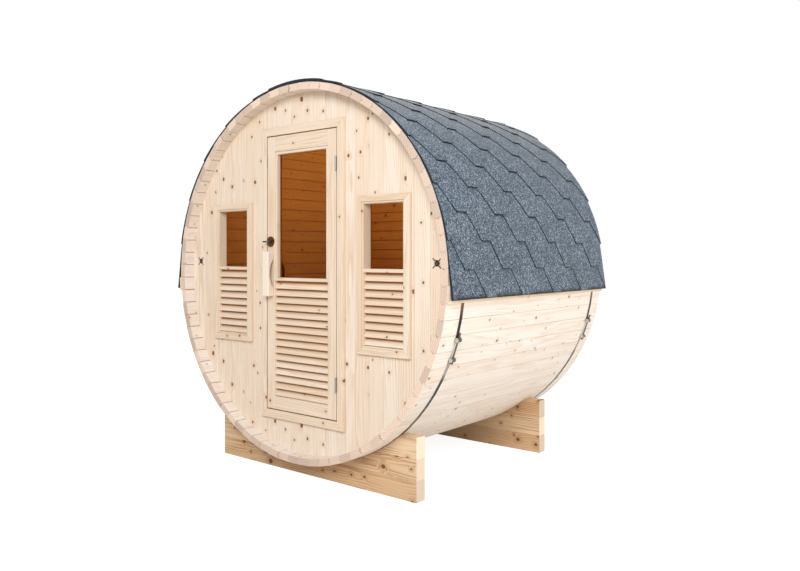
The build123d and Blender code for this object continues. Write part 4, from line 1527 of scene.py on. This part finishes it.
@dataclass
class Hardware:
    """CAD nodes whose shape is right as it is, and which only need their finish."""

    finishes: tuple[tuple[Finish, tuple[str, ...]], ...] = (
        (Metal("galvanised_steel"), ("catch_plates", "frame_hinges", "door_hinges")),
        (HoopSteel("band_steel_painted_light"), ("front_hoop", "rear_hoop")),
        (LockBronze("antique_bronze"), ("lock_rosettes", "latch_turn")),
        (BronzeGlass("bronze_tinted_glass"), ("door_glass", "left_window_glass", "right_window_glass")),
        (BITUMEN, ("roof_underlay",)),
    )

    def build(self) -> None:
        """Gives each node its material."""
        for finish, nodes in self.finishes:
            for node in nodes:
                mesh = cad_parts[node].data
                mesh.materials.clear()
                mesh.materials.append(finish.material())
                LOG.info("%s: %s", node, finish.name)


@dataclass
class Studio:
    """A pale studio: a white floor and world, large soft lamps and a camera at the picture's angle."""

    camera_place: Place = (2.825, -3.348, 1.132)
    azimuth: float = 39.39
    lens: float = 34.2
    shift: float = -0.0392
    sky: float = 0.6
    ground: float = 0.14
    floor_half: float = 60.0
    middle: Place = (0.0, 0.0, 1.035)
    lamps: tuple[tuple[str, Place, float, float, Place], ...] = (
        ("key", (3.6, -5.8, 4.2), 3.0, 362.0, middle),
        ("side", (7.0, 0.8, 1.8), 4.0, 190.0, middle),
        ("back", (-4.0, 5.5, 3.0), 4.0, 170.0, middle),
        ("room", (0.1, 0.1, 0.95), 0.4, 7.2, (0.05, 0.05, 1.8)),
    )

    def place(self, name: str, data: bpy.types.ID, at: Place = (0.0, 0.0, 0.0),
              turn: Place = (0.0, 0.0, 0.0)) -> bpy.types.Object:
        """Puts a new object into the scene.

        Args:
            name: its name.
            data: its mesh, lamp or camera.
            at: where it stands.
            turn: its rotation in radians.

        Returns:
            The object.
        """
        holder = bpy.data.objects.new(name, data)
        holder.location, holder.rotation_euler = at, turn
        bpy.context.scene.collection.objects.link(holder)
        return holder

    def world(self) -> None:
        """A white world to the eye, and a dimmer one as light, warm from below and brighter from above."""
        world = bpy.data.worlds.new("pale_studio")
        world.use_nodes = True
        world.node_tree.nodes.clear()
        add = partial(add_node, world.node_tree)
        seen = in_sight(world.node_tree)
        upward = add("SeparateXYZ", {0: add("TexCoord", output="Generated")}, "Z")
        dome = add("MapRange", {0: upward, 1: -0.2, 2: 0.7, 3: self.ground, 4: self.sky})
        warmth = add("MapRange", {0: upward, 1: 0.0, 2: -0.3})
        strength = add("Mix", {0: seen, 2: dome, 3: 1.0})
        below = add("Mix", {"Factor": warmth, 6: "#FFFFFF", 7: "#FFE6CC"}, **BLEND)
        colour = add("Mix", {"Factor": seen, 6: below, 7: "#FFFFFF"}, **BLEND)
        add("OutputWorld", {"Surface": add("Background", {"Color": colour, "Strength": strength})})
        bpy.context.scene.world = world

    def floor(self) -> None:
        """A white floor that keeps a soft shadow under the object."""
        half = self.floor_half
        mesh = bpy.data.meshes.new("studio_floor")
        mesh.from_pydata([(-half, -half, 0), (half, -half, 0), (half, half, 0), (-half, half, 0)], [],
                         [(0, 1, 2, 3)])
        mesh.materials.append(StudioPaper("studio_paper").material())
        self.place("studio_floor", mesh)

    def lights(self) -> None:
        """Large square lamps outside and a small one in the room, each turned to what it lights."""
        for name, place, size, power, target in self.lamps:
            lamp = bpy.data.lights.new(name, "AREA")
            lamp.shape, lamp.size, lamp.energy = "SQUARE", size, power
            x, y, z = np.array(target) - np.array(place)
            holder = self.place(name, lamp, place, (math.atan2(math.hypot(x, y), -z), 0.0, math.atan2(-x, y)))
            holder.visible_camera = holder.visible_transmission = False

    def camera(self) -> None:
        """The camera stands where the picture was taken from and looks level."""
        lens = bpy.data.cameras.new("camera")
        lens.lens, lens.sensor_width, lens.shift_y, lens.clip_end = self.lens, 36.0, self.shift, 200.0
        bpy.context.scene.camera = self.place("camera", lens, self.camera_place,
                                              (math.pi / 2, 0.0, math.radians(self.azimuth)))

    def build(self) -> None:
        """Sets up the whole studio."""
        bpy.context.scene.view_settings.view_transform = "Standard"
        self.world()
        self.floor()
        self.lights()
        self.camera()


def main() -> None:
    """Builds every sub-assembly in order."""
    logging.basicConfig(level=logging.INFO, format="%(name)s: %(message)s")
    for part in (Studio(), Barrel(), FrontWall(), RearWall(), Doorway(), DoorLeaf(), Window("left", -545.0),
                 Window("right", 545.0), Roof(), Cradle("front_cradle", -635.0, 952.33),
                 Cradle("rear_cradle", 497.0, 950.93), FloorDeck(), EaveBattens(), VentGuards(),
                 Hardware()):
        part.build()
        LOG.info("%s is in place", type(part).__name__)


if __name__ == "__main__":
    main()
